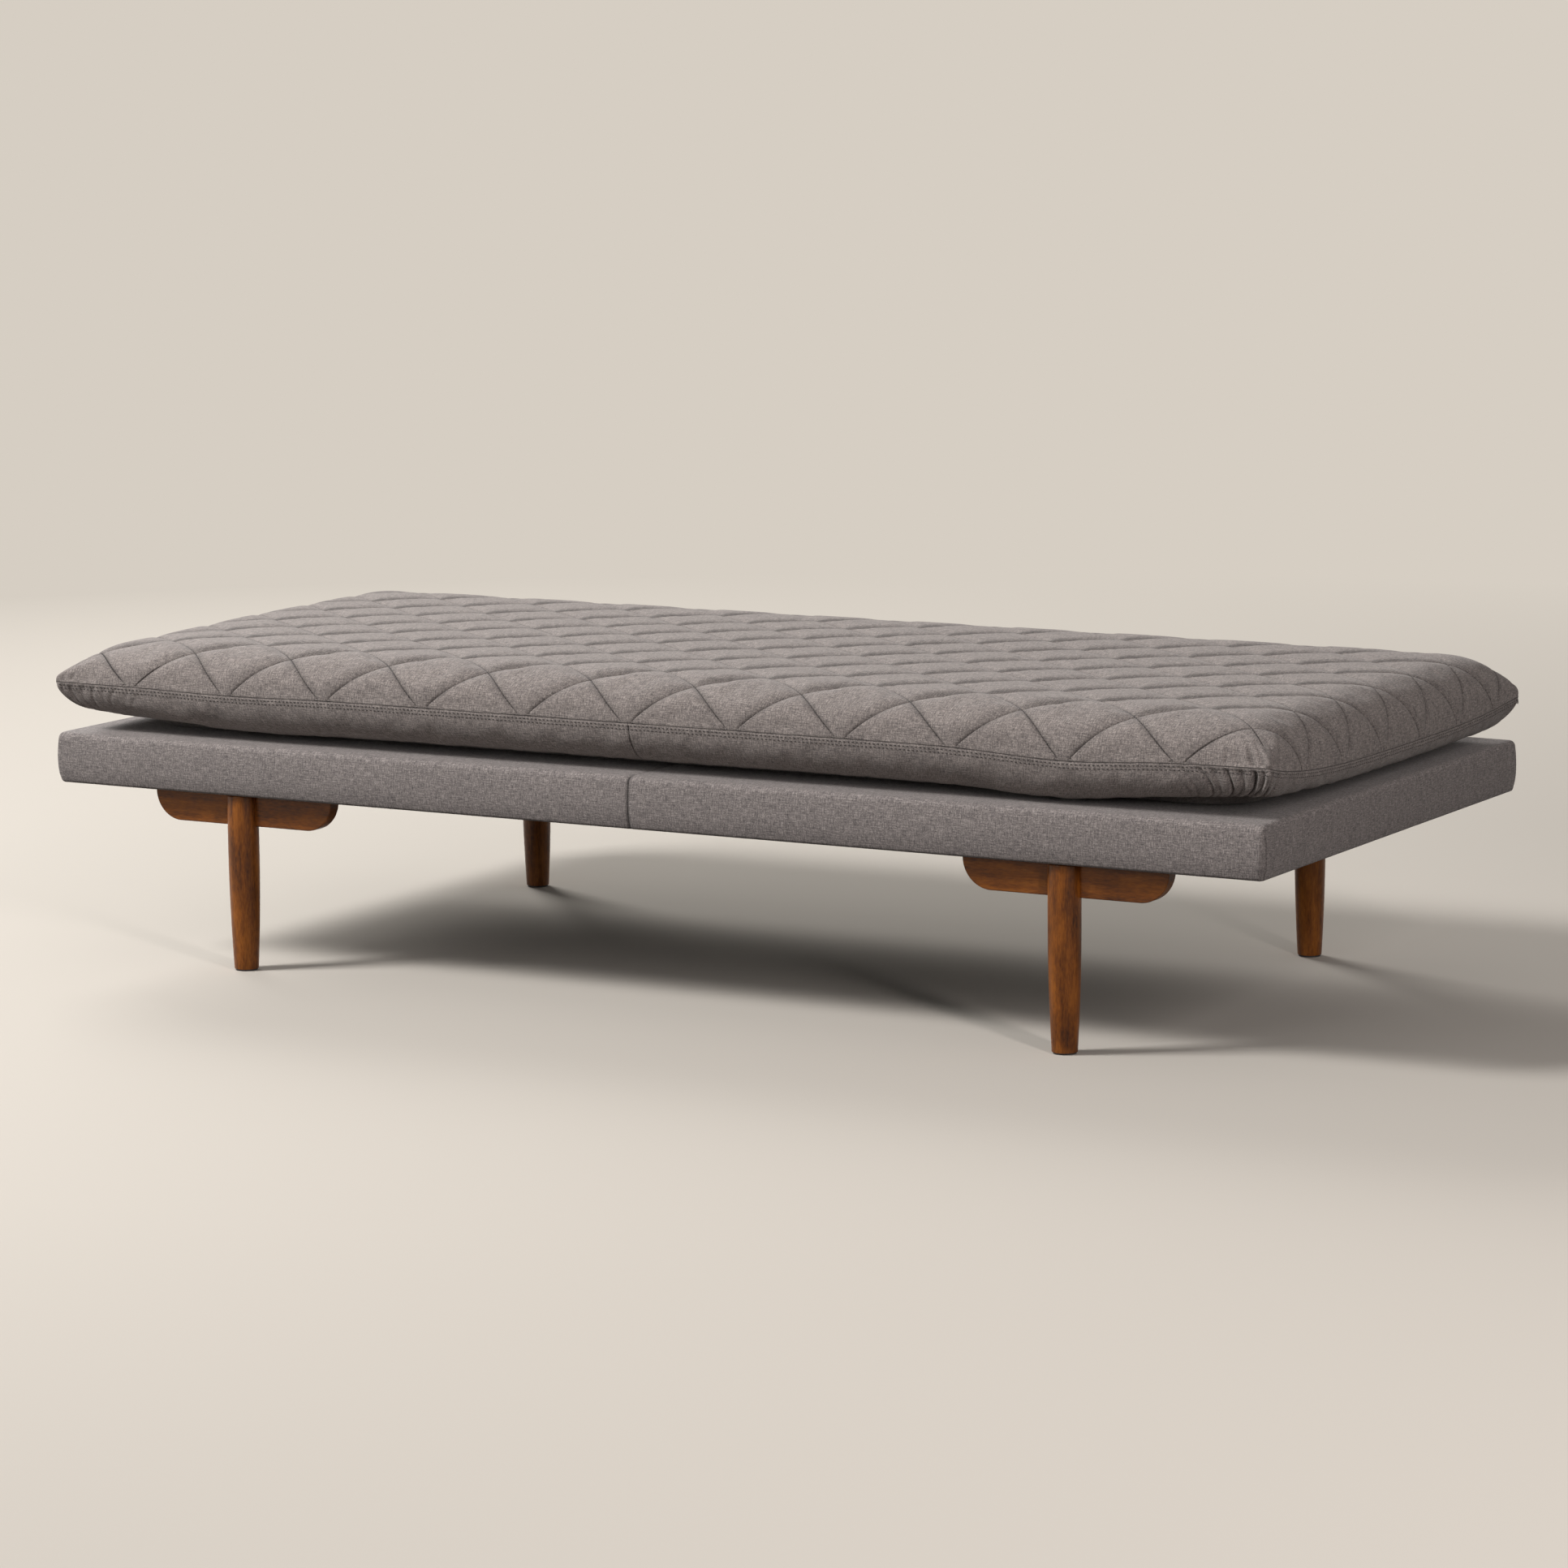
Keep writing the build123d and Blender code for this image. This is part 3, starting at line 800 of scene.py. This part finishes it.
def mapMattressCloth(obj, grid, rows, topFaces):
    cloth = obj.data.uv_layers.new(name="cloth")
    points = readPoints(obj)
    runs = [np.zeros(len(rows[0]))]
    ringPoints = [points[row] for row in rows]
    for upper, lower in zip(ringPoints, ringPoints[1:]):
        runs.append(runs[-1] + np.linalg.norm(lower - upper, axis=1))
    around = np.linalg.norm(np.roll(ringPoints[0], -1, axis=0) - ringPoints[0], axis=1)
    starts = np.concatenate(([0.0], np.cumsum(around)))
    values = np.empty((len(obj.data.loops), 2))
    corner = 0
    columns = len(rows[0])
    for number, face in enumerate(obj.data.polygons):
        for step, vertex in enumerate(face.vertices):
            if number < topFaces:
                values[corner] = (lengthRun(grid[vertex, 0]), widthRun(grid[vertex, 1]))
            else:
                level, column = divmod(number - topFaces, columns)
                row = level + (step in (1, 2))
                place = column + (step in (2, 3))
                values[corner] = (starts[place], -runs[row][place % columns])
            corner += 1
    cloth.data.foreach_set("uv", values.ravel())


def addGroup(obj, name, members):
    group = obj.vertex_groups.new(name=name)
    group.add([int(i) for i in np.flatnonzero(members)], 1.0, "REPLACE")


def markSeams(obj, grid, rows):
    sewn = np.zeros(len(obj.data.vertices), bool)
    level = 2 * stepsPerCell
    sums = np.mod(grid[:, 0] + grid[:, 1], level) == stepsPerCell
    differences = np.mod(grid[:, 0] - grid[:, 1], level) == stepsPerCell
    sewn[:len(grid)] = sums | differences
    sewn[rows[0]] = True
    held = sewn.copy()
    for row in rows[mattress["rollRows"]:]:
        held[row] = True
    addGroup(obj, "sewn", sewn)
    addGroup(obj, "held", held)
    crease = obj.data.attributes.new("crease_edge", "FLOAT", "EDGE")
    crease.data.foreach_set("value", sewn[edgeEnds(obj)].all(axis=1).astype(float))


def groupMembers(obj, name):
    index = obj.vertex_groups[name].index
    members = np.zeros(len(obj.data.vertices), bool)
    for vertex in obj.data.vertices:
        members[vertex.index] = any(part.group == index and part.weight > 0.99 for part in vertex.groups)
    return members


def belowSeam(points):
    return seamHeight + seamLift(points[:, 0], points[:, 1]) - points[:, 2]


def toCorner(points):
    return halfLength - np.abs(points[:, 0]) + halfWidth - np.abs(points[:, 1])


# The filling swells the cloth between its sewn lines

swell = {
    "frames": 20,
    "cap": 1.4 * mm,
    "cloth": {
        "quality": 5,
        "mass": 0.3,
        "tension_stiffness": 12.0,
        "compression_stiffness": 12.0,
        "shear_stiffness": 6.0,
        "bending_stiffness": 0.4,
        "use_pressure": True,
        "uniform_pressure_force": 4.0,
        "shrink_min": -0.01,
        "vertex_group_mass": "held",
    },
}


def inflate(obj):
    before = readPoints(obj)
    makeActive(obj)
    cloth = obj.modifiers.new("Swell", "CLOTH")
    for name, value in swell["cloth"].items():
        setattr(cloth.settings, name, value)
    cloth.settings.effector_weights.gravity = 0.0
    cloth.collision_settings.use_collision = False
    cloth.point_cache.frame_start = 1
    cloth.point_cache.frame_end = swell["frames"]
    for step in range(1, swell["frames"] + 1):
        bpy.context.scene.frame_set(step)
    bpy.ops.object.modifier_apply(modifier=cloth.name)
    bpy.context.scene.frame_set(1)
    moved = readPoints(obj) - before
    length = np.linalg.norm(moved, axis=1, keepdims=True)
    writePoints(obj, before + moved * np.minimum(1.0, swell["cap"] / np.maximum(length, 1e-9)))
    print(obj.name, "swelled, most", round(float(length.max()) / mm, 1), "mm before the cap")


# Creases along the quilt lines and the border seam: width, depth and painted shade at the crease bottom

creases = {
    "quilt": (1.3 * mm, 1.9 * mm, 0.85),
    "seam": (0.9 * mm, 0.5 * mm, 1.0),
    "stop": 1 * mm,    # above the seam
    "fade": (0.0, 14 * mm),
    "leftAtSeam": 0.3,
    "corner": 30 * mm,
}


def quiltPart(points):
    return (belowSeam(points) < -creases["stop"]) & (toCorner(points) > creases["corner"])


def seamPart(points):
    return np.abs(belowSeam(points)) < creases["stop"]


def creaseSeams(obj, wanted, width, depth, shade):
    sewn = (groupMembers(obj, "sewn") & wanted(readPoints(obj)))[edgeEnds(obj)].all(axis=1)
    editPicked(obj, "EDGE", sewn)
    bpy.ops.mesh.bevel(offset=width, segments=2, affect="EDGES", clamp_overlap=False)
    leaveEdit()
    corners = readAll(obj.data.loops, "vertex_index", 1, int)
    sides = readAll(obj.data.polygons, "loop_total", 1, int)
    bevelled = np.repeat(readAll(obj.data.polygons, "select", 1, bool), sides)
    count = len(obj.data.vertices)
    outside = np.bincount(corners, ~bevelled, count)
    inside = np.bincount(corners, bevelled, count)
    middle = ((outside == 0) & (inside > 0)).astype(float)
    above = -belowSeam(readPoints(obj))
    fade = growing(creases["leftAtSeam"], creases["fade"], above)
    middle *= np.where(above > creases["stop"], fade, 1.0)
    sinkPoints(obj, depth * middle)
    # painted shade at the bottom of each crease
    deepenPaintedShade(obj, shade * middle)
    print(obj.name, "creased along", int(sewn.sum()), "edges,", int((middle > 0).sum()), "points sunk")


# The border's join at the middle of the long sides, sunk and darkened with painted shade

join = {
    "at": 3.5 * mm,
    "halfWidth": 1.6 * mm,
    "depth": 1.8 * mm,
    "shade": 0.9,
    "beside": 14 * mm,
    "innerEnd": 280 * mm,
    "start": (0.5 * mm, 4 * mm),
    "slack": 0.05 * mm,
}


def sewBorder(obj):
    for offset in (-join["halfWidth"], 0.0, join["halfWidth"]):
        centres = faceCentres(obj)
        beside = np.abs(centres[:, 0] - join["at"]) < join["beside"]
        outer = np.abs(centres[:, 1]) > join["innerEnd"]
        editPicked(obj, "FACE", beside & outer & (belowSeam(centres) > join["start"][0]))
        bpy.ops.mesh.bisect(plane_co=(join["at"] + offset, 0, 0), plane_no=(1, 0, 0))
        leaveEdit()
    points = readPoints(obj)
    low = ease(join["start"], belowSeam(points)) * (np.abs(points[:, 1]) > join["innerEnd"])
    groove = low * (np.abs(points[:, 0] - join["at"]) < join["slack"])
    sinkPoints(obj, join["depth"] * groove)
    # painted shade in the join's groove
    deepenPaintedShade(obj, join["shade"] * groove)


# Gathers where the border turns the corners: place, depth and width of each fold, in mm

gathers = {
    "shadedFolds": (
        (9, 3.4, 3.6), (22, 5.2, 3.2), (41, 2.8, 4.6), (57, 3.8, 3.4), (80, 1.9, 5.0), (97, 2.4, 3.6),
        (124, 1.2, 5.0), (143, 1.0, 4.0), (-12, 4.2, 3.6), (-29, 1.6, 5.0),
    ),
    "reach": 175 * mm,
    "reachFade": (0.75, 1.0),
    "ridge": (2.0 * mm, 8 * mm),    # height and width
    "wander": 2.5 * mm,
    "wanderTurn": 90,
    "narrowing": 0.6,
    "depth": 62 * mm,
    "underFrom": (1 * mm, 7 * mm),
    "underFade": (0.6, 0.95),
    "above": 42 * mm,
    "aboveShare": 0.8,
    "aboveFrom": (1 * mm, 5 * mm),
    "aboveFade": (0.2, 1.0),
    "fan": 70 * mm,
    # painted shade for each mm a gather sinks, up to the deepest mm
    "shade": 0.09,
    "deepest": 5,
    "nearCorner": 1.0,    # front right, drawn together most
    "otherCorners": 0.35,
}


def gatherHold(points, past, below):
    under = ease(gathers["underFrom"], below)
    under = under * (1 - ease(gathers["underFade"], below / gathers["depth"]))
    over = gathers["aboveShare"] * ease(gathers["aboveFrom"], -below)
    over = over * (1 - ease(gathers["aboveFade"], -below / gathers["above"]))
    over = over * np.exp(-(past / gathers["fan"]) ** 2)
    hold = (under + over) * (1 - ease(gathers["reachFade"], toCorner(points) / gathers["reach"]))
    nearCorner = (points[:, 0] > 0) & (points[:, 1] < 0)
    return hold * np.where(nearCorner, gathers["nearCorner"], gathers["otherCorners"])


def gatherCorners(obj):
    for cut in range(2):
        centres = faceCentres(obj)
        below = belowSeam(centres)
        inDepth = (below > -gathers["above"]) & (below < gathers["depth"])
        editPicked(obj, "FACE", inDepth & (toCorner(centres) < gathers["reach"]))
        bpy.ops.mesh.subdivide(number_cuts=1)
        leaveEdit()
    points = readPoints(obj)
    past = halfLength - np.abs(points[:, 0]) - halfWidth + np.abs(points[:, 1])
    below = belowSeam(points)
    drawn = np.clip(1 - gathers["narrowing"] * np.clip(below, 0, None) / gathers["depth"], 0.2, 1)
    place = past / drawn
    ridge, ridgeWidth = gathers["ridge"]
    move = ridge * np.exp(-(place / ridgeWidth) ** 2)
    for fold, depth, width in gathers["shadedFolds"]:
        wander = gathers["wander"] * np.sin(fold + below * gathers["wanderTurn"])
        move -= depth * mm * np.exp(-((place - fold * mm - wander) / (width * mm)) ** 2)
    sunk = -move * gatherHold(points, past, below)
    sinkPoints(obj, sunk)
    # painted shade in the gathers' folds, darker where they sink deeper
    deepenPaintedShade(obj, gathers["shade"] * np.clip(sunk / mm, 0, gathers["deepest"]))
    print("corners gathered")


def closeBottom(obj):
    clearPicks(obj, "EDGE")
    enterEdit()
    bpy.ops.mesh.select_non_manifold(extend=False)
    bpy.ops.mesh.edge_face_add()
    leaveEdit()
    lid = obj.data.polygons[len(obj.data.polygons) - 1]
    cloth = obj.data.uv_layers["cloth"]
    for loop in lid.loop_indices:
        cloth.data[loop].uv = obj.data.vertices[obj.data.loops[loop].vertex_index].co.xy
    print("bottom closed, lid sides", len(lid.vertices), "facing", lid.normal.z)


cushion, cushionGrid, cushionRows, topFaceCount = buildMattress()
mapMattressCloth(cushion, cushionGrid, cushionRows, topFaceCount)
markSeams(cushion, cushionGrid, cushionRows)
print("mattress laid out:", len(cushion.data.vertices), "points")
inflate(cushion)
applyModifier(cushion, "SUBSURF", {"levels": 1, "render_levels": 1})
shadeSmooth(cushion)
creaseSeams(cushion, quiltPart, *creases["quilt"])
creaseSeams(cushion, seamPart, *creases["seam"])
sewBorder(cushion)
gatherCorners(cushion)
closeBottom(cushion)
cushion.vertex_groups.clear()
hand(cushion, "mattress", seatLinen)
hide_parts("mattress_quilted_top", "mattress_border", "mattress_bottom_panel", "mattress_foam_core")
print("mattress finished:", len(cushion.data.polygons), "faces")


# Stitching: one stitch, laid along the quilt lines and in two rows under the seam

stitch = {
    "quiltSize": (3.8 * mm, 1.0 * mm),
    "seamSize": (3.4 * mm, 1.5 * mm),
    "taper": 0.7,
    "quiltPitch": 5.6 * mm,
    "quiltSink": 0.9 * mm,
    "seamPitch": 6 * mm,
    "seamRows": (3.5 * mm, 8 * mm),
    "proud": 0.1 * mm,
    "lineSamples": 2400,
    "shortest": 20,    # samples in a line that gets stitches
    "ringSamples": 40,    # for each point of the seam
}


def modelStitch(length, width):
    bpy.ops.mesh.primitive_cylinder_add(
        vertices=4,
        radius=width / 2,
        depth=length * stitch["taper"],
        end_fill_type="TRIFAN",
        rotation=(0, math.pi / 2, 0),
    )
    obj = namedActive("stitch")
    bpy.ops.object.transform_apply(location=False, rotation=True, scale=False)
    points = readPoints(obj)
    tips = np.hypot(points[:, 1], points[:, 2]) < 0.01 * mm
    points[tips, 0] /= stitch["taper"]
    writePoints(obj, points)
    return obj


def layStitches(name, size, places, alongs, ups):
    pattern = modelStitch(*size)
    shape = readPoints(pattern)
    sides = np.cross(ups, alongs)
    copies = places[:, None] + shape[None, :, 0:1] * alongs[:, None]
    copies = copies + shape[None, :, 1:2] * sides[:, None] + shape[None, :, 2:3] * ups[:, None]
    faces = [list(face.vertices) for face in pattern.data.polygons]
    count = len(shape)
    every = [[corner + copy * count for corner in face] for copy in range(len(places)) for face in faces]
    bpy.data.objects.remove(pattern)
    obj = addMesh(name, copies.reshape(-1, 3), every)
    shadeSmooth(obj)
    hand(obj, "mattress", threadLook)
    print(name, "laid:", len(places), "stitches")


def evenPlaces(line, pitch):
    steps = np.linalg.norm(np.diff(line, axis=0), axis=1)
    run = np.concatenate(([0], np.cumsum(steps)))
    stops = np.arange(pitch, run[-1] - pitch / 2, pitch)
    return np.searchsorted(run, stops)


def quiltStitches():
    places, alongs, ups = [], [], []
    lines = mattress["columns"] + mattress["rows"]
    for sense in (-1, 1):
        for number in range(-lines, lines):
            gridY = np.linspace(-gridWidth, gridWidth, stitch["lineSamples"])
            gridX = stepsPerCell + number * 2 * stepsPerCell + sense * gridY
            inside = np.abs(gridX) <= gridLength
            if inside.sum() < stitch["shortest"]:
                continue
            gridX, gridY = gridX[inside], gridY[inside]
            line = topPoint(gridX, gridY, topSwell(gridX, gridY) - stitch["quiltSink"])
            chosen = evenPlaces(line, stitch["quiltPitch"])
            places.append(line[chosen])
            alongs.append(unit(np.gradient(line, axis=0))[chosen])
            ups.append(planPoint(gridX, gridY)[3][chosen])
    return np.concatenate(places), np.concatenate(alongs), np.concatenate(ups)


def seamStitches(surface):
    square, roll, height = seamPlan(np.array(seamRing() + seamRing()[:1], float))
    places, alongs, ups = [], [], []
    for below in stitch["seamRows"]:
        turn = below / roll
        inset = roll * (1 - np.cos(turn))
        line = insetRing(square, inset, mattress["cornerRadius"], height - roll * np.sin(turn))
        fine = np.linspace(0, len(line) - 1, stitch["ringSamples"] * len(line))
        whole = np.arange(len(line))
        line = np.stack([np.interp(fine, whole, line[:, axis]) for axis in range(3)], axis=-1)
        chosen = evenPlaces(line, stitch["seamPitch"])
        tangent = unit(np.gradient(line, axis=0))[chosen]
        for place, along in zip(line[chosen], tangent):
            point, normal = surface.closest_point_on_mesh(Vector(place))[1:3]
            places.append(point + normal * stitch["proud"])
            alongs.append(along)
            ups.append(normal - Vector(along) * normal.dot(Vector(along)))
    return np.array(places), np.array(alongs), unit(np.array(ups))


layStitches("quilt_stitching", stitch["quiltSize"], *quiltStitches())
layStitches("seam_stitching", stitch["seamSize"], *seamStitches(cushion))


# Platform: a padded box under a pulled cloth, with a sewn middle and sewn corners

coverLow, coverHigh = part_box("platform_cover")
platform = {
    "edgeRound": 8 * mm,
    "topRound": 7 * mm,
    "bottomRound": 4 * mm,
    "edgeSegments": 8,
    "slack": 0.1 * mm,
    "cell": 11 * mm,
    "bulge": (2 * mm, 3.5 * mm),    # of the ends and the long sides
    "tuck": 1.5 * mm,
    "tuckFrom": (-1.0, -0.5),
    "outerBand": (0.965, 1.0),
    "edgeDrop": 0.6 * mm,
    "edgeTop": (0.6, 1.0),
    "edgeBand": (0.96, 1.0),
    "wave": 0.7 * mm,
    "seamAt": 9 * mm,
    "seamWidth": 2.2 * mm,
    "seamDepth": 1.3 * mm,
    "seamShade": 0.9,
    "seamBand": (0.97, 0.995),
    "seamTop": (0.8, 1.0),
    "cornerSeam": math.radians(22.5),    # round from the end
    "cornerSeamWidth": math.radians(5),
    "cornerSeamFade": (0.55, 0.95),
}


def buildPlatform():
    size = coverHigh - coverLow
    bpy.ops.mesh.primitive_cube_add(size=1.0)
    obj = namedActive("platform_upholstery")
    obj.data.transform(Matrix.Translation((coverLow + coverHigh) / 2) @ Matrix.Diagonal((*size, 1.0)))
    rounds = (
        (platform["edgeRound"], lambda z: np.ptp(z, axis=1) > size.z / 2),
        (platform["topRound"], lambda z: z.min(axis=1) > coverHigh.z - platform["slack"]),
        (platform["bottomRound"], lambda z: z.max(axis=1) < coverLow.z + platform["slack"]),
    )
    for radius, wanted in rounds:
        editPicked(obj, "EDGE", wanted(readPoints(obj)[edgeEnds(obj), 2]))
        bpy.ops.mesh.bevel(offset=radius, segments=platform["edgeSegments"], affect="EDGES")
        leaveEdit()
    for axis in range(3):
        span = np.ptp(readPoints(obj)[edgeEnds(obj), axis], axis=1)
        editPicked(obj, "EDGE", span > size[axis] / 2)
        bpy.ops.mesh.subdivide(number_cuts=max(1, round(size[axis] / platform["cell"])))
        leaveEdit()
    for offset in (-2.0, -1.0, 0.0, 1.0, 2.0):    # loops for the middle seam
        editWhole(obj)
        place = platform["seamAt"] + offset * platform["seamWidth"]
        bpy.ops.mesh.bisect(plane_co=(place, 0, 0), plane_no=(1, 0, 0))
        leaveEdit()
    return obj


def mapBoxCloth(obj):
    cloth = obj.data.uv_layers.new(name="cloth")
    points = readPoints(obj)
    values = np.empty((len(obj.data.loops), 2))
    for face in obj.data.polygons:
        facing = max(range(3), key=lambda axis: abs(face.normal[axis]))
        u, v = ((2, 1), (0, 2), (0, 1))[facing]
        for loop in face.loop_indices:
            vertex = obj.data.loops[loop].vertex_index
            values[loop] = (points[vertex, u], points[vertex, v])
    cloth.data.foreach_set("uv", values.ravel())


def dressPlatform(obj):
    low, high = np.array(coverLow), np.array(coverHigh)
    centre = (low + high) / 2
    half = (high - low) / 2
    points = readPoints(obj)
    local = (points - centre) / half
    sideways = np.abs(local[:, 1])
    rise = 1 - local[:, 2] ** 2
    tuck = platform["tuck"] * (1 - ease(platform["tuckFrom"], local[:, 2]))
    for axis in range(2):
        facing = ease(platform["outerBand"], np.abs(local[:, axis]))
        points[:, axis] += np.sign(local[:, axis]) * (platform["bulge"][axis] * rise - tuck) * facing
    wave = np.sin(points[:, 0] * 31 + 1.3) * np.sin(points[:, 0] * 13.7) * platform["wave"]
    edge = ease(platform["edgeTop"], local[:, 2]) * ease(platform["edgeBand"], sideways)
    points[:, 2] -= edge * (platform["edgeDrop"] + wave)
    near = np.exp(-((points[:, 0] - platform["seamAt"]) / platform["seamWidth"]) ** 2)
    onSide = ease(platform["seamBand"], sideways)
    points[:, 1] -= np.sign(local[:, 1]) * near * platform["seamDepth"] * onSide
    points[:, 2] -= near * platform["seamDepth"] * ease(platform["seamTop"], local[:, 2])
    past = np.abs(points[:, :2] - centre[:2]) - (half[:2] - platform["edgeRound"])
    turn = np.arctan2(past[:, 1], past[:, 0]) - platform["cornerSeam"]
    crease = np.exp(-(turn / platform["cornerSeamWidth"]) ** 2) * (past > 0).all(axis=1)
    crease *= 1 - ease(platform["cornerSeamFade"], local[:, 2])
    points[:, :2] -= np.sign(local[:, :2]) * (crease * platform["seamDepth"])[:, None]
    writePoints(obj, points)
    # painted shade along the sunk middle seam and corner seams
    startPaintedShade(obj, platform["seamShade"] * np.maximum(crease, near * onSide))


platformPiece = buildPlatform()
dressPlatform(platformPiece)
mapBoxCloth(platformPiece)
shadeSmooth(platformPiece)
hand(platformPiece, "base", baseLinen)
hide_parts("platform_cover", "platform_padding")
print("platform dressed:", len(platformPiece.data.polygons), "faces")


# Dust cloth: a black sheet stapled under the frame

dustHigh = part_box("dust_cover")[1]
dustCloth = {
    "overlap": 9 * mm,
    "thickness": 0.7 * mm,
    "cell": 16 * mm,
    "sag": 1.6 * mm,
    "drop": 1.0 * mm,
    "ripple": 0.25 * mm,
}
dustHalfLength = dustHigh.x + dustCloth["overlap"]
dustHalfWidth = dustHigh.y + dustCloth["overlap"]


def buildDustCloth():
    bpy.ops.mesh.primitive_grid_add(
        x_subdivisions=round(2 * dustHalfLength / dustCloth["cell"]),
        y_subdivisions=round(2 * dustHalfWidth / dustCloth["cell"]),
        size=1.0,
    )
    obj = namedActive("dust_cloth")
    obj.data.transform(Matrix.Diagonal((2 * dustHalfLength, 2 * dustHalfWidth, 1.0, 1.0)))
    points = readPoints(obj)
    cloth = obj.data.uv_layers[0]
    cloth.name = "cloth"
    values = np.array([points[loop.vertex_index, :2] for loop in obj.data.loops])
    cloth.data.foreach_set("uv", values.ravel())
    inX = 1 - (points[:, 0] / dustHalfLength) ** 2
    inY = 1 - (points[:, 1] / dustHalfWidth) ** 2
    ripple = np.sin(points[:, 0] * 38) * np.sin(points[:, 1] * 27 + 0.8) * dustCloth["ripple"]
    points[:, 2] = coverLow.z - dustCloth["drop"] - dustCloth["sag"] * inX * inY + ripple * inX * inY
    writePoints(obj, points)
    editWhole(obj)
    bpy.ops.mesh.flip_normals()
    leaveEdit()
    applyModifier(obj, "SOLIDIFY", {"thickness": dustCloth["thickness"], "offset": -1.0})
    makeActive(obj)
    bpy.ops.object.shade_smooth_by_angle(angle=math.radians(40))
    return obj


dustPiece = buildDustCloth()
hand(dustPiece, "base", feltLook)
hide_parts("dust_cover")
print("dust cloth stretched")


# Stage, light and camera

stage = {
    "floor": colour(208, 202, 193),
    "bounce": colour(58, 54, 50),    # the floor as the object's underside is lit by it
    "backdrop": colour(214, 206, 195),
    "reach": 60.0,
    "fadeFrom": 1.6,
    "fadeTo": 4.6,
    "fill": 0.2,
    "fillTint": (1.0, 0.98, 0.96, 1.0),
}


def seenRays(wire):
    path = wire.node("ShaderNodeLightPath", {}, {}, "Is Camera Ray")
    return (path + path.also("Is Glossy Ray") + path.also("Is Transmission Ray")).between(0.0, 1.0)


def layFloor():
    bpy.ops.mesh.primitive_plane_add(size=stage["reach"])
    floor = namedActive("floor")
    material, wire = newMaterial("pale_floor")
    seen = seenRays(wire)
    away = wire.node("ShaderNodeVectorMath", {"operation": "LENGTH"}, {0: wire.place()}, "Value")
    far = away.between(stage["fadeFrom"], stage["fadeTo"]) * seen
    top = wire.node("ShaderNodeBsdfDiffuse", {}, {"Color": seen.blend(stage["bounce"], stage["floor"])})
    wall = wire.node("ShaderNodeEmission", {}, {"Color": stage["backdrop"], "Strength": 1.0})
    faded = wire.node("ShaderNodeMixShader", {}, {0: far, 1: top, 2: wall})
    below = wire.node("ShaderNodeNewGeometry", {}, {}, "Backfacing")
    clear = wire.node("ShaderNodeBsdfTransparent")
    shown = wire.node("ShaderNodeMixShader", {}, {0: below, 1: faded, 2: clear})
    wire.node("ShaderNodeOutputMaterial", {}, {"Surface": shown})
    floor.data.materials.append(material)


def lightWorld():
    world = bpy.data.worlds.new("studio")
    bpy.context.scene.world = world
    wire = emptyTree(world)
    fill = wire.node("ShaderNodeBackground", {}, {"Color": stage["fillTint"], "Strength": stage["fill"]})
    wall = wire.node("ShaderNodeBackground", {}, {"Color": stage["backdrop"], "Strength": 1.0})
    mixed = wire.node("ShaderNodeMixShader", {}, {0: seenRays(wire), 1: fill, 2: wall})
    wire.node("ShaderNodeOutputWorld", {}, {"Surface": mixed})


lampAim = Vector((0.0, 0.0, 0.3))
lamps = (    # name, place, size, power and tint
    ("back", (-4.8, 3.45, 3.5), (2.4, 2.4), 258.0, (1.0, 0.985, 0.97)),
    ("key", (-3.7, -3.3, 4.3), (1.6, 1.6), 355.0, (1.0, 0.985, 0.975)),
    ("front", (-2.2, -6.0, 1.7), (1.6, 1.2), 26.0, (1.0, 0.985, 0.975)),
    ("side", (4.1, -2.9, 2.2), (0.4, 2.4), 83.0, (1.0, 0.935, 0.925)),
)


def hangLamps():
    for name, place, size, power, tint in lamps:
        light = bpy.data.lights.new(name, "AREA")
        light.shape = "RECTANGLE"
        light.size, light.size_y = size
        light.energy = power
        light.color = tint
        obj = addObject(name, light)
        obj.location = place
        obj.rotation_euler = (lampAim - obj.location).to_track_quat("-Z", "Y").to_euler()


viewpoint = {
    "lens": 124.89,
    "sensor": 36.0,
    "place": (3.5915, -6.2784, 1.3586),
    "turn": 0.5184,
    "tilt": 0.1529,
    "roll": -0.0093,
}


def setCamera():
    camera = bpy.data.cameras.new("photo_view")
    camera.sensor_width = viewpoint["sensor"]
    camera.lens = viewpoint["lens"]
    obj = addObject("photo_view", camera)
    turned = (
        Matrix.Rotation(viewpoint["turn"], 3, "Z")
        @ Matrix.Rotation(math.pi / 2 - viewpoint["tilt"], 3, "X")
        @ Matrix.Rotation(viewpoint["roll"], 3, "Z")
    )
    obj.location = viewpoint["place"]
    obj.rotation_euler = turned.to_euler()
    bpy.context.scene.camera = obj


layFloor()
lightWorld()
hangLamps()
setCamera()
print("stage, lights and camera set")
